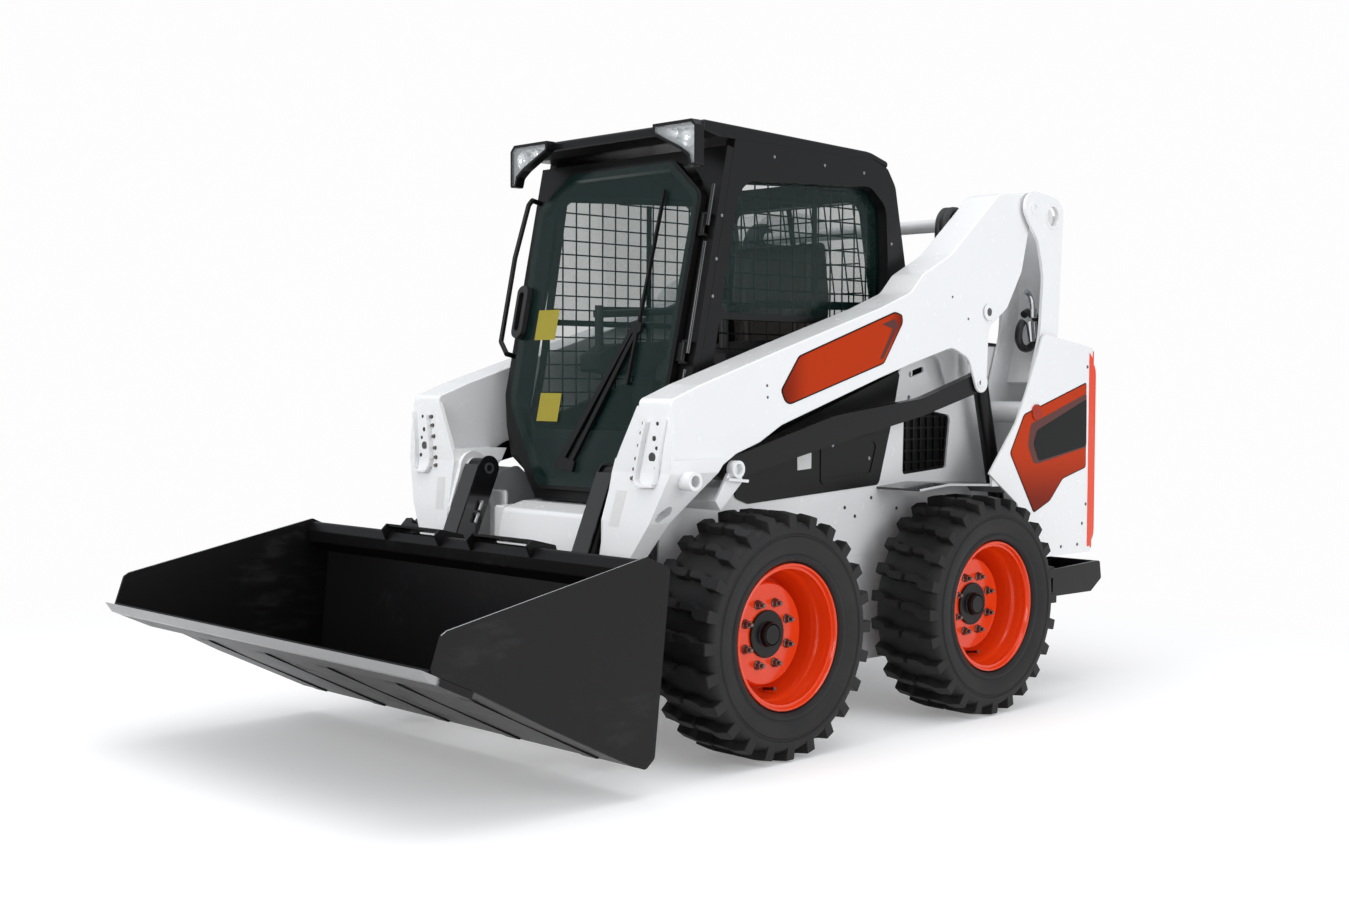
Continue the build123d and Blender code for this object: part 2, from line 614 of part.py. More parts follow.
ROOF_BEND = 8.0
ROOF_TOP_EDGE = 1970.0                    # the side edges above this height are rounded
LAMP_FRONT = -62.0
LENS_THICK = 8.0
LAMP_POCKET = 30.0
LAMP_INNER_X = CAB_HALF - 197
LAMP_OUTER_X = CAB_HALF + 3
LAMP_HOUSING = [
    # x, height, corner radius
    (LAMP_INNER_X, ROOF_Z - 1, 0),
    (LAMP_INNER_X, 1965, 14),
    (CAB_HALF - 69, 1905, 40),
    (CAB_HALF - 35, 1882, 20),
    (CAB_HALF - 25, 1850, 8),
    (LAMP_OUTER_X, 1850, 8),
    (LAMP_OUTER_X, 1978, 6),
    (CAB_HALF - 17, ROOF_Z - 1, 4),
]
LAMP_OPENING = [
    # x, height, corner radius
    (LAMP_INNER_X + 9, 1988, 5),
    (LAMP_INNER_X + 9, 1970, 6),
    (CAB_HALF - 66, 1914, 40),
    (CAB_HALF - 28, 1889, 10),
    (CAB_HALF - 19, 1858, 4),
    (CAB_HALF - 5, 1858, 4),
    (CAB_HALF - 5, 1974, 3),
    (CAB_HALF - 20, 1988, 3),
]


def lamp_plane(y):
    """Plane across the lamps at y behind the front axle, whose normal points forwards."""
    return Plane(origin=(0, FRONT_AXLE_Y + y, 0), x_dir=(1, 0, 0), z_dir=(0, -1, 0))


with BuildPart() as cab_roof:
    with BuildSketch(side(-CAB_HALF)):
        rounded(
            (ROOF_FRONT, ROOF_Z - 34, 6),
            (ROOF_FRONT, ROOF_Z, 12),
            (805, 1975, 200),
            (905, 1948, 12),
            (902, 1927, 6),
            (820, CAB_TOP_Z + SEAT_GAP, 0),
            (40, CAB_TOP_Z + SEAT_GAP, 0),
        )
    extrude(amount=2 * CAB_HALF)
    top_edges = cab_roof.edges().filter_by(lambda edge: edge.center().Z > ROOF_TOP_EDGE)
    fillet(top_edges.filter_by(lambda edge: abs(edge.center().X) > CAB_HALF - 1), radius=ROOF_BEND)
    # corner housings of the lamps, open to the front
    with BuildSketch(lamp_plane(ROOF_FRONT + 1)):
        rounded(*LAMP_HOUSING)
    extrude(amount=ROOF_FRONT + 1 - LAMP_FRONT)
    with BuildSketch(lamp_plane(LAMP_FRONT + LAMP_POCKET)):
        rounded(*LAMP_OPENING)
    extrude(amount=LAMP_POCKET + 1, mode=Mode.SUBTRACT)
    with BuildSketch(lamp_plane(ROOF_FRONT + 1)):
        rounded(*[(-u, v, radius) for u, v, radius in LAMP_HOUSING])
    extrude(amount=ROOF_FRONT + 1 - LAMP_FRONT)
    with BuildSketch(lamp_plane(LAMP_FRONT + LAMP_POCKET)):
        rounded(*[(-u, v, radius) for u, v, radius in LAMP_OPENING])
    extrude(amount=LAMP_POCKET + 1, mode=Mode.SUBTRACT)
write("cab_roof", cab_roof)

with BuildPart() as headlights:
    with BuildSketch(lamp_plane(LAMP_FRONT + 2 + LENS_THICK)):
        rounded(*LAMP_OPENING)
        offset(amount=-SEAT_GAP)
    extrude(amount=LENS_THICK)
    mirror(about=Plane.YZ)
write("headlights", headlights)

REAR_WINDOW_HALF = CAB_HALF - 145
with BuildPart() as cab_rear:
    with BuildSketch(side(-CAB_INNER_HALF + SEAT_GAP)):
        rounded(
            (905, 1900, 0), (930, 1862, 20), (995, 1560, 60), (1003, 1485, 60), (1003, 1010, 0),
            (975, 1010, 0),
            (975, 1485, 60), (902, 1860, 20), (880, 1900, 0),
        )
    extrude(amount=2 * (CAB_INNER_HALF - SEAT_GAP))
    with BuildSketch(Plane(origin=(0, FRONT_AXLE_Y + 800, 0), x_dir=(1, 0, 0), z_dir=(0, -1, 0))):
        with Locations((0, 1600)):
            RectangleRounded(2 * REAR_WINDOW_HALF, 440, 50)
    extrude(amount=-300, mode=Mode.SUBTRACT)
write("cab_rear", cab_rear)

# floor pan and the tapered footwell between the tilt cylinders
FLOOR_THICK = 8.0
FLOOR_REAR = 975.0
FLOOR_HALF = CAB_INNER_HALF - 1
FOOT_FRONT_Z = 758.0
FOOT_HALF = 205.0
FOOT_REAR = 420.0
FOOT_SECTIONS = [
    # height, half width, front, rear
    (SILL_Z, FLOOR_HALF, front_y(SILL_Z) + FRONT_FRAME_BACK, FOOT_REAR),
    (FOOT_FRONT_Z, FOOT_HALF, front_y(FOOT_FRONT_Z) + FRONT_FRAME_BACK, FOOT_REAR - 80),
]
with BuildPart() as cab_floor:
    for inset, mode in ((0.0, Mode.ADD), (FLOOR_THICK, Mode.SUBTRACT)):
        for z, half, front, rear in FOOT_SECTIONS:
            height = z + (inset if z == FOOT_FRONT_Z else inset / 4)
            with BuildSketch(flat(height)):
                outline(
                    (-half + inset, front + inset),
                    (half - inset, front + inset),
                    (half - inset, rear - inset),
                    (-half + inset, rear - inset),
                )
        loft(ruled=True, mode=mode)
    with BuildSketch(flat(SILL_Z - FLOOR_THICK)):
        with Locations((0, (FOOT_REAR - FLOOR_THICK + FLOOR_REAR) / 2)):
            Rectangle(2 * FLOOR_HALF, FLOOR_REAR - FOOT_REAR + FLOOR_THICK)
    extrude(amount=FLOOR_THICK)
write("cab_floor", cab_floor)

FRONT_RISE = (1 + FRONT_SLOPE**2) ** 0.5


def front_plane(depth):
    """Plane behind the cab's front by depth, whose sketch axes are X and length up the slope."""
    lean = Vector(0, FRONT_SLOPE, 1).normalized()
    origin = (0, FRONT_AXLE_Y + front_y(FOOT_FRONT_Z), FOOT_FRONT_Z)
    return Plane(origin=origin, x_dir=(1, 0, 0), z_dir=Vector(1, 0, 0).cross(lean)).offset(-depth)


def rise(z):
    """Distance along the cab's front from the footwell's foot to height z."""
    return (z - FOOT_FRONT_Z) * FRONT_RISE


def both_sides(*half):
    """Corners (x, height, radius) of the machine's left half, joined to their mirror images."""
    left = [(x, rise(z), radius) for x, z, radius in half]
    return left + [(-x, v, radius) for x, v, radius in reversed(left)]


DOOR_HALF = CAB_HALF - 50
HINGE_X = CAB_HALF - 37
HINGE_DEPTH = -3.0
HINGE_RADIUS = 9.0
HINGE_PIN_RADIUS = 5.0
HINGE_LENGTH = 60.0
HINGE_EAR = 8.0
HINGE_TAB = 32.0                          # from the hinge axis onto the door frame
DOOR_HINGES = (1230.0, 1640.0)
FRONT_FRAME_DEPTH = 45.0
FRONT_FRAME_THICK = 30.0


def hinge_plane(z):
    """Plane across the door's hinge axis at height z."""
    base = front_plane(HINGE_DEPTH)
    return Plane(origin=base.from_local_coords((HINGE_X, rise(z), 0)), x_dir=(1, 0, 0), z_dir=base.y_dir)


with BuildPart() as cab_front_frame:
    with BuildSketch(front_plane(FRONT_FRAME_DEPTH)):
        rounded(*both_sides(
            (FOOT_HALF, 768, 12), (CAB_HALF - 40, 1000, 60), (CAB_HALF, 1120, 60), (CAB_HALF, 1930, 0),
        ))
        rounded(*both_sides(
            (150, 830, 40), (CAB_HALF - 95, 1090, 70), (CAB_HALF - 80, 1810, 60), (CAB_HALF - 145, 1880, 60),
        ), mode=Mode.SUBTRACT)
    extrude(amount=FRONT_FRAME_THICK)
    for z in DOOR_HINGES:
        for start in (-HINGE_EAR - SEAT_GAP, HINGE_LENGTH + SEAT_GAP):
            with BuildSketch(hinge_plane(z).offset(start)):
                with Locations((5, 5.5)):
                    Rectangle(24, 25)
            extrude(amount=HINGE_EAR)
        with BuildSketch(hinge_plane(z).offset(-HINGE_EAR)):
            Circle(HINGE_PIN_RADIUS)
        extrude(amount=HINGE_LENGTH + 2 * HINGE_EAR)
write("cab_front_frame", cab_front_frame)

DOOR_BACK_DEPTH = 10.0
DOOR_THICK = 26.0
with BuildPart() as door_frame:
    with BuildSketch(front_plane(DOOR_BACK_DEPTH)):
        rounded(*both_sides(
            (176, 800, 50), (CAB_HALF - 66, 1085, 90), (DOOR_HALF, 1770, 50), (CAB_HALF - 210, 1893, 50),
        ))
        rounded(*both_sides(
            (146, 835, 40), (CAB_HALF - 103, 1100, 70), (CAB_HALF - 87, 1756, 40), (CAB_HALF - 225, 1862, 40),
        ), mode=Mode.SUBTRACT)
    extrude(amount=DOOR_THICK)
    for z in DOOR_HINGES:
        with BuildSketch(hinge_plane(z)):
            Circle(HINGE_RADIUS)
            with Locations((-HINGE_TAB / 2, 0)):
                Rectangle(HINGE_TAB, 10)
            Circle(HINGE_PIN_RADIUS + RUNNING, mode=Mode.SUBTRACT)
        extrude(amount=HINGE_LENGTH)
write("door_frame", door_frame)

GLASS_THICK = 6.0
GLASS_DEPTH = DOOR_BACK_DEPTH - DOOR_THICK - SEAT_GAP
with BuildPart() as door_glass:
    with BuildSketch(front_plane(GLASS_DEPTH)):
        rounded(*both_sides(
            (166, 812, 46), (CAB_HALF - 78, 1090, 84), (CAB_HALF - 62, 1766, 44), (CAB_HALF - 215, 1883, 44),
        ))
    extrude(amount=GLASS_THICK)
write("door_glass", door_glass)

# handle loop and wiper, both on the door's glass
FITTING_DEPTH = GLASS_DEPTH - GLASS_THICK - SEAT_GAP
with BuildPart() as door_handle:
    with BuildSketch(front_plane(FITTING_DEPTH)):
        with Locations((-(CAB_HALF - 79), rise(1400))):
            SlotOverall(190, 56, rotation=90)
            SlotOverall(140, 26, rotation=90, mode=Mode.SUBTRACT)
    extrude(amount=DOOR_THICK)
    fillet(door_handle.faces().sort_by(Axis.Y)[0].edges(), radius=5)
write("door_handle", door_handle)

WIPER_THICK = 12.0
with BuildPart() as door_wiper:
    with BuildSketch(front_plane(FITTING_DEPTH)):
        # two arms from the motor plate, their head, and the blade parked upright
        outline((-60, rise(905)), (-34, rise(892)), (213, rise(1330)), (200, rise(1342)))
        outline((-14, rise(880)), (4, rise(874)), (230, rise(1318)), (218, rise(1328)))
        rounded(
            (195, rise(1318), 8), (245, rise(1318), 8), (245, rise(1352), 8), (195, rise(1352), 8),
        )
        outline((212, rise(1150)), (222, rise(1150)), (254, rise(1790)), (247, rise(1790)))
        rounded((-70, rise(868), 8), (20, rise(858), 8), (24, rise(894), 8), (-66, rise(912), 8))
    extrude(amount=WIPER_THICK)
write("door_wiper", door_wiper)

# glass: two sides and the rear, seated inside the openings
REAR_GLASS_HALF = REAR_WINDOW_HALF + 15
with BuildPart() as cab_windows:
    with BuildSketch(side(CAB_INNER_HALF - SEAT_GAP - GLASS_THICK)):
        rounded(
            (120, 1838, 80), (810, 1870, 50), (906, 1799, 60), (918, 1588, 60), (912, BELT_Z - 4, 10),
            (42, BELT_Z - 4, 10),
        )
    extrude(amount=GLASS_THICK)
    mirror(about=Plane.YZ)
    with BuildSketch(side(-REAR_GLASS_HALF)):
        outline((968, 1372), (974.6, 1372), (974.6, 1485), (908, 1826), (901, 1826), (968, 1484))
    extrude(amount=2 * REAR_GLASS_HALF)
write("cab_windows", cab_windows)

SCREEN_THICK = 6.0
with BuildPart() as cab_screens:
    with BuildSketch(side(CAB_INNER_HALF - 2 * SEAT_GAP - GLASS_THICK - SCREEN_THICK)):
        outline(
            (125, 1838), (808, 1863), (902, 1795), (914, 1588), (908, 1270), (110, 1018), (-20, 1018),
            (30, 1215),
        )
        outline(
            (158, 1812), (800, 1845), (885, 1783), (896, 1588), (882, 1295), (120, 1048), (22, 1048),
            (60, 1230),
            mode=Mode.SUBTRACT,
        )
        outline((60, 1380), (900, 1380), (900, 1388), (60, 1388))
    extrude(amount=SCREEN_THICK)
    mirror(about=Plane.YZ)
write("cab_screens", cab_screens)

HANDLE_ROD = 9.0
HANDLE_OUT = -24.0
HANDLE_FOOT_X = -(CAB_HALF - 19)
HANDLE_LOOP_X = -(CAB_HALF + 25)
HANDLE_ENDS = (1806.0, 1256.0)
FRONT_FACE_DEPTH = FRONT_FRAME_DEPTH - FRONT_FRAME_THICK
with BuildPart() as grab_handle:
    with BuildLine(front_plane(HANDLE_OUT)) as handle_path:
        FilletPolyline(
            (HANDLE_FOOT_X, rise(HANDLE_ENDS[0])),
            (HANDLE_FOOT_X - 16, rise(1790)),
            (HANDLE_LOOP_X, rise(1600)),
            (HANDLE_LOOP_X, rise(1300)),
            (HANDLE_FOOT_X, rise(HANDLE_ENDS[1])),
            radius=14,
        )
    with BuildSketch(Plane(origin=handle_path.line @ 0, z_dir=handle_path.line % 0)):
        Circle(HANDLE_ROD)
    sweep(path=handle_path.line)
    with BuildSketch(front_plane(FRONT_FACE_DEPTH - SEAT_GAP)):
        with Locations(*[(HANDLE_FOOT_X, rise(z)) for z in HANDLE_ENDS]):
            Circle(HANDLE_ROD)
    extrude(amount=FRONT_FACE_DEPTH - SEAT_GAP - HANDLE_OUT + 2)
write("grab_handle", grab_handle)

# operator's station
SEAT_BASE_HALF = 230.0
SEAT_HALF = SEAT_BASE_HALF + 5
with BuildPart() as seat_base:
    with BuildSketch(side(-SEAT_BASE_HALF)):
        outline((430, SILL_Z + SEAT_GAP), (890, SILL_Z + SEAT_GAP), (890, 1124.7), (450, 1151.7))
    extrude(amount=2 * SEAT_BASE_HALF)
write("seat_base", seat_base)
with BuildPart() as seat_cushion:
    with BuildSketch(side(-SEAT_HALF)):
        rounded(
            (390, 1160, 15), (400, 1240, 35), (450, 1262, 40), (800, 1235, 10), (842, 1128, 0),
            (450, 1152, 20),
        )
    extrude(amount=2 * SEAT_HALF)
write("seat_cushion", seat_cushion)
with BuildPart() as seat_back:
    with BuildSketch(side(-SEAT_HALF + 10)):
        rounded(
            (812, 1242, 0), (790, 1500, 60), (812, 1690, 30), (870, 1700, 25), (905, 1480, 80),
            (885, 1125.4, 0),
            (846, 1127.8, 0),
        )
    extrude(amount=2 * (SEAT_HALF - 10))
write("seat_back", seat_back)
CONSOLE_INNER_X = SEAT_HALF + 27
CONSOLE_OUTER_X = CAB_INNER_HALF - 57
JOYSTICK_RADIUS = 16.0
with BuildPart() as consoles:
    with BuildSketch(side(CONSOLE_INNER_X)):
        rounded(
            (180, 1200, 15), (180, 1260, 20), (260, 1300, 40), (740, 1330, 15), (740, 1230, 0),
            (600, 1180, 0),
            (600, SILL_Z + SEAT_GAP, 0), (440, SILL_Z + SEAT_GAP, 0), (440, 1180, 0),
        )
    extrude(amount=CONSOLE_OUTER_X - CONSOLE_INNER_X)
    with BuildSketch(flat(1270)):
        with Locations(((CONSOLE_INNER_X + CONSOLE_OUTER_X) / 2, 225)):
            Circle(JOYSTICK_RADIUS)
    extrude(amount=170)
    mirror(about=Plane.YZ)
write("consoles", consoles)

# lap bar pivoted on the cab sides behind the operator
BAR_PIVOT = (945.0, 1440.0)
BAR_ROD = 14.0
BAR_ARM = 14.0
BAR_INSET = 35.0
with BuildPart() as seat_bar:
    with BuildSketch(side(CAB_INNER_HALF - BAR_INSET - BAR_ARM)):
        with Locations(BAR_PIVOT):
            Circle(22)
        outline((945, 1454), (300, 1440), (262, 1425), (262, 1400), (320, 1412), (945, 1426))
    extrude(amount=BAR_ARM)
    with BuildSketch(side(CAB_INNER_HALF - BAR_INSET)):
        with Locations(BAR_PIVOT):
            Circle(10)
    extrude(amount=BAR_INSET - SEAT_GAP)
    mirror(about=Plane.YZ)
    with BuildSketch(side(-(CAB_INNER_HALF - BAR_INSET))):
        with Locations((276, 1412)):
            Circle(BAR_ROD)
    extrude(amount=2 * (CAB_INNER_HALF - BAR_INSET))
write("seat_bar", seat_bar)

# ---------------------------------------------------------------- rear door and engine cover
LOUVRES = 7
LOUVRE_PITCH = 70.0
LOUVRE_HEIGHT = 26.0
LOUVRE_HALF = REAR_DOOR_HALF - 160
with BuildPart() as rear_door:
    with BuildSketch(Plane(origin=(0, FRONT_AXLE_Y + DOOR_BACK_Y, 0), x_dir=(-1, 0, 0), z_dir=(0, 1, 0))):
        with Locations((0, (REAR_DOOR_FOOT + REAR_DOOR_TOP) / 2)):
            RectangleRounded(2 * REAR_DOOR_HALF, REAR_DOOR_TOP - REAR_DOOR_FOOT, 10)
            RectangleRounded(2 * LOUVRE_HALF, 560, 30, mode=Mode.SUBTRACT)
            with GridLocations(0, LOUVRE_PITCH, 1, LOUVRES):
                Rectangle(2 * LOUVRE_HALF + 2, LOUVRE_HEIGHT)
    extrude(amount=REAR_DOOR_THICK)
    fillet(rear_door.faces().sort_by(Axis.Y)[-1].outer_wire().edges(), radius=8)
    with BuildSketch(flat(REAR_DOOR_FOOT)):
        with Locations((REAR_HINGE_X, REAR_HINGE_Y)):
            Circle(REAR_PIN_RADIUS + RUNNING)
    extrude(amount=REAR_DOOR_TOP - REAR_DOOR_FOOT, mode=Mode.SUBTRACT)
write("rear_door", rear_door)

HOOD_FRONT = WHEELBASE + 243
HOOD_HALF = BODY_HALF - WALL - SIDE_CLEARANCE
HOOD_SLOTS = 8
HOOD_PIN = (HOOD_FRONT, HOOD_Z + 24)
HOOD_PIN_RADIUS = 7.0
HOOD_KNUCKLE = 12.0
HOOD_KNUCKLE_HALF = 60.0
HOOD_HINGES = (-300.0, 300.0)
with BuildPart() as engine_cover:
    with BuildSketch(side(-HOOD_HALF)):
        outline(
            (HOOD_FRONT, HOOD_Z + 26), (FRAME_REAR - 12, HOOD_Z - 2), (FRAME_REAR - 12, HOOD_Z - 12),
            (HOOD_FRONT, HOOD_Z + 16),
        )
        outline(
            (HOOD_FRONT, HOOD_Z + 16), (HOOD_FRONT + 8, HOOD_Z + 16), (HOOD_FRONT + 8, HOOD_Z - 20),
            (HOOD_FRONT, HOOD_Z - 20),
        )
    extrude(amount=2 * HOOD_HALF)
    with BuildSketch(Plane(origin=(0, FRONT_AXLE_Y + WHEELBASE + 533, HOOD_Z - 60))):
        with GridLocations(0, 44, 1, HOOD_SLOTS):
            SlotOverall(620, 20)
    extrude(amount=120, mode=Mode.SUBTRACT)
    # notches for the hinge ears, and the knuckles between them
    for x in HOOD_HINGES:
        for ear in (-HOOD_KNUCKLE_HALF - WALL / 2, HOOD_KNUCKLE_HALF + WALL / 2):
            with BuildSketch(flat(HOOD_Z - 30)):
                with Locations((x + ear, HOOD_FRONT + 8)):
                    Rectangle(WALL + 2 * SIDE_CLEARANCE - 1, 26)
            extrude(amount=80, mode=Mode.SUBTRACT)
        with BuildSketch(side(x - HOOD_KNUCKLE_HALF)):
            with Locations(HOOD_PIN):
                Circle(HOOD_KNUCKLE)
        extrude(amount=2 * HOOD_KNUCKLE_HALF)
        with BuildSketch(side(x - HOOD_KNUCKLE_HALF)):
            with Locations(HOOD_PIN):
                Circle(HOOD_PIN_RADIUS + RUNNING)
        extrude(amount=2 * HOOD_KNUCKLE_HALF, mode=Mode.SUBTRACT)
write("engine_cover", engine_cover)

BULKHEAD_FRONT = WHEELBASE - 37
with BuildPart() as rear_bulkhead:
    with BuildSketch(side(-BODY_HALF + WALL + SEAT_GAP)):
        outline(
            (BULKHEAD_FRONT, 1090), (BULKHEAD_FRONT + 8, 1090), (BULKHEAD_FRONT + 8, 1235),
            (HOOD_FRONT - 26, 1281), (HOOD_FRONT - 26, 1289), (BULKHEAD_FRONT, 1243),
        )
    extrude(amount=2 * (BODY_HALF - WALL - SEAT_GAP))
    # hinge ears and pins of the engine cover
    for x in HOOD_HINGES:
        for start in (x - HOOD_KNUCKLE_HALF - SEAT_GAP - WALL, x + HOOD_KNUCKLE_HALF + SEAT_GAP):
            with BuildSketch(side(start)):
                outline(
                    (HOOD_FRONT - 60, 1277), (HOOD_FRONT - 26, 1281), (HOOD_PIN[0] - 6, HOOD_PIN[1] - 14),
                    (HOOD_PIN[0], HOOD_PIN[1] + 8), (HOOD_PIN[0] - 12, HOOD_PIN[1] + 10),
                    (HOOD_FRONT - 60, 1290),
                )
                with Locations(HOOD_PIN):
                    Circle(HOOD_KNUCKLE)
            extrude(amount=WALL)
        with BuildSketch(side(x - HOOD_KNUCKLE_HALF - WALL)):
            with Locations(HOOD_PIN):
                Circle(HOOD_PIN_RADIUS)
        extrude(amount=2 * (HOOD_KNUCKLE_HALF + WALL))
write("rear_bulkhead", rear_bulkhead)

# ---------------------------------------------------------------- lift arms
KNEE_RADIUS = 36.0
ARM_EYE_RADIUS = 56.0
LUG_RADIUS = 56.0
LUG_PLATE = 16.0
LEG_TUBE_RADIUS = 29.0
LEG_TUBE_BORE = 18.0
LEG_TUBE_END_X = ARM_OUTER_X + 46
TILT_PIN_START_X = TILT_CYLINDER_X - TILT_BARREL_RADIUS - 2
TILT_PIN_END_X = LEG_INNER_X + 58
FRONT_PLATE = 14.0
ARM_EDGE = 5.0
ARM_OUTLINE = [
    # behind the front axle, height, corner radius
    (-345, 1111, 22),
    (-220, 1157, 60),
    (148, 1271, 0),
    (639, 1419, 0),
    (803, 1478, 90),
    (868, 1543, 60),
    (1030, 1622, 90),
    (WHEELBASE + 249, 1858, 70),
    (WHEELBASE + 395, 1866, 40),
    (WHEELBASE + 443, 1765, 0),
    (WHEELBASE + 392, 1577, 60),
    (WHEELBASE + 302, 1439, 60),
    (WHEELBASE + 190, 1368, 60),
    (WHEELBASE + 181, 1159, 0),
    (WHEELBASE + 152, 1131, 0),
    (WHEELBASE + 120, 1150, 0),
    (WHEELBASE + 72, 1254, 70),
    (WHEELBASE - 28, 1291, 70),
    (812, 1232, 0),
    (639, 1182, 0),
    (147, 1029, 0),
    (45, 976, 60),
    (-61, 943, 60),
    (-150, 892, 0),
    (-345, 925, 0),
]
LEG_SECTIONS = [
    # height, inner x, outer x, front, rear
    (930.0, LEG_INNER_X + 18, ARM_OUTER_X + 11, -354.0, -118.0),
    (890.0, LEG_INNER_X + 5, ARM_OUTER_X + 10, -356.0, -150.0),
    (738.0, LEG_INNER_X, ARM_OUTER_X - 51, -385.0, -300.0),
    (618.0, LEG_INNER_X, LEG_OUTER_X, -405.0, -335.0),
    (150.0, LEG_INNER_X, LEG_OUTER_X, -492.0, -418.0),
]
FRONT_PLATE_SECTIONS = [
    # height, inner x, outer x, front
    (1092.0, ARM_INNER_X - 4, ARM_OUTER_X, -346.0),
    (963.0, LEG_INNER_X + 38, ARM_OUTER_X + 12, -352.0),
    (905.0, LEG_INNER_X + 10, ARM_OUTER_X + 10.5, -355.2),
]
with BuildPart() as lift_arms:
    with BuildSketch(side(ARM_INNER_X)):
        rounded(*ARM_OUTLINE)
        with Locations(KNEE):
            Circle(KNEE_RADIUS)
    extrude(amount=ARM_WIDTH)
    fillet(lift_arms.faces().sort_by(Axis.X)[-1].outer_wire().edges(), radius=ARM_EDGE)
    fillet(lift_arms.faces().sort_by(Axis.X)[0].outer_wire().edges(), radius=ARM_EDGE)
    with BuildSketch(side(ARM_INNER_X)):
        with Locations(ARM_PIVOT):
            Circle(ARM_EYE_RADIUS)
    extrude(amount=ARM_WIDTH)
    # knee: two side plates with the lift cylinder and the control link between them
    with BuildSketch(side(ARM_INNER_X + ARM_PLATE)):
        outline(
            (WHEELBASE - 82, 1100), (WHEELBASE - 82, 1262), (WHEELBASE - 27, 1268), (WHEELBASE + 53, 1340),
            (WHEELBASE + 123, 1500), (WHEELBASE + 233, 1560), (WHEELBASE + 353, 1540),
            (WHEELBASE + 353, 1100),
        )
    extrude(amount=ARM_WIDTH - 2 * ARM_PLATE, mode=Mode.SUBTRACT)
    # boxed leg, and the plate that closes its front up to the arm
    for lower, upper in zip(LEG_SECTIONS[1:], LEG_SECTIONS[:-1]):
        for z, inner, outer, front, rear in (lower, upper):
            with BuildSketch(flat(z)):
                outline((inner, front), (outer, front), (outer, rear), (inner, rear))
        loft(ruled=True)
    for lower, upper in zip(FRONT_PLATE_SECTIONS[1:], FRONT_PLATE_SECTIONS[:-1]):
        for z, inner, outer, front in (lower, upper):
            with BuildSketch(flat(z)):
                back = front + FRONT_PLATE
                outline((inner, front), (outer, front), (outer, back), (inner, back))
        loft(ruled=True)
    with BuildSketch(side(LEG_INNER_X)):
        with Locations(BUCKET_PIVOT):
            Circle(46)
    extrude(amount=LEG_WIDTH)
    # lug plate and outer tube of the tilt cylinder's pin, and the pin's bore
    with BuildSketch(side(LEG_INNER_X - LEG_BOSS)):
        with Locations(TILT_BASE):
            Circle(LUG_RADIUS)
        outline((-341, 868), (-229, 868), (-290, 700), (-385, 640), (-385, 738))
    extrude(amount=LUG_PLATE)
    with BuildSketch(side(LEG_INNER_X - LEG_BOSS - 5)):
        with Locations(TILT_BASE):
            Circle(PIN_RADIUS + 12)
    extrude(amount=10)
    with BuildSketch(side(LEG_INNER_X - LEG_BOSS - LUG_PLATE)):
        with Locations(TILT_BASE):
            Circle(PIN_RADIUS + RUNNING)
    extrude(amount=TILT_PIN_END_X + SEAT_GAP - LEG_INNER_X + LEG_BOSS + LUG_PLATE, mode=Mode.SUBTRACT)
    with BuildSketch(side(ARM_INNER_X)):
        with Locations(TILT_BASE):
            Circle(LEG_TUBE_RADIUS)
    extrude(amount=LEG_TUBE_END_X - ARM_INNER_X)
    with BuildSketch(side(LEG_TUBE_END_X - 50)):
        with Locations(TILT_BASE):
            Circle(LEG_TUBE_BORE)
    extrude(amount=50, mode=Mode.SUBTRACT)
    # oval access hole in the leg's outer face
    with BuildSketch(side(ARM_OUTER_X - 80)):
        with Locations((-335, 766)):
            SlotOverall(66, 30, rotation=32)
    extrude(amount=90, mode=Mode.SUBTRACT)
    with BuildSketch(side(ARM_INNER_X)):
        with Locations(ARM_PIVOT):
            Circle(PIN_RADIUS + RUNNING)
    extrude(amount=ARM_WIDTH, mode=Mode.SUBTRACT)
    with BuildSketch(side(LEG_INNER_X)):
        with Locations(BUCKET_PIVOT):
            Circle(PIN_RADIUS + RUNNING)
    extrude(amount=LEG_WIDTH, mode=Mode.SUBTRACT)
    # stub pins of the open eyes, each with a washer outside the arm
    for eye, stub, head in (
        (KNEE, CONTROL_LINK_X + CONTROL_LINK_THICK + 2, 14.0),
        (LIFT_EYE, LIFT_CYLINDER_X + LIFT_BARREL_RADIUS + 6, 32.0),
    ):
        with BuildSketch(side(stub)):
            with Locations(eye):
                Circle(PIN_RADIUS)
        extrude(amount=ARM_OUTER_X - stub)
        with BuildSketch(side(ARM_OUTER_X - 1)):
            with Locations(eye):
                Circle(head)
        extrude(amount=6)
    mirror(about=Plane.YZ)
write("lift_arms", lift_arms)

with BuildPart() as tilt_pins:
    with BuildSketch(side(TILT_PIN_START_X)):
        with Locations(TILT_BASE):
            Circle(PIN_RADIUS)
    extrude(amount=TILT_PIN_END_X - TILT_PIN_START_X)
    mirror(about=Plane.YZ)
write("tilt_pins", tilt_pins)

CROSS_TUBE = (WHEELBASE + 191, 1750.0)
CROSS_TUBE_RADIUS = 25.0
CROSS_TUBE_WALL = 5.0
with BuildPart() as arm_cross_tube:
    with BuildSketch(side(-ARM_INNER_X + SEAT_GAP)):
        with Locations(CROSS_TUBE):
            Circle(CROSS_TUBE_RADIUS)
            Circle(CROSS_TUBE_RADIUS - CROSS_TUBE_WALL, mode=Mode.SUBTRACT)
    extrude(amount=2 * (ARM_INNER_X - SEAT_GAP))
write("arm_cross_tube", arm_cross_tube)

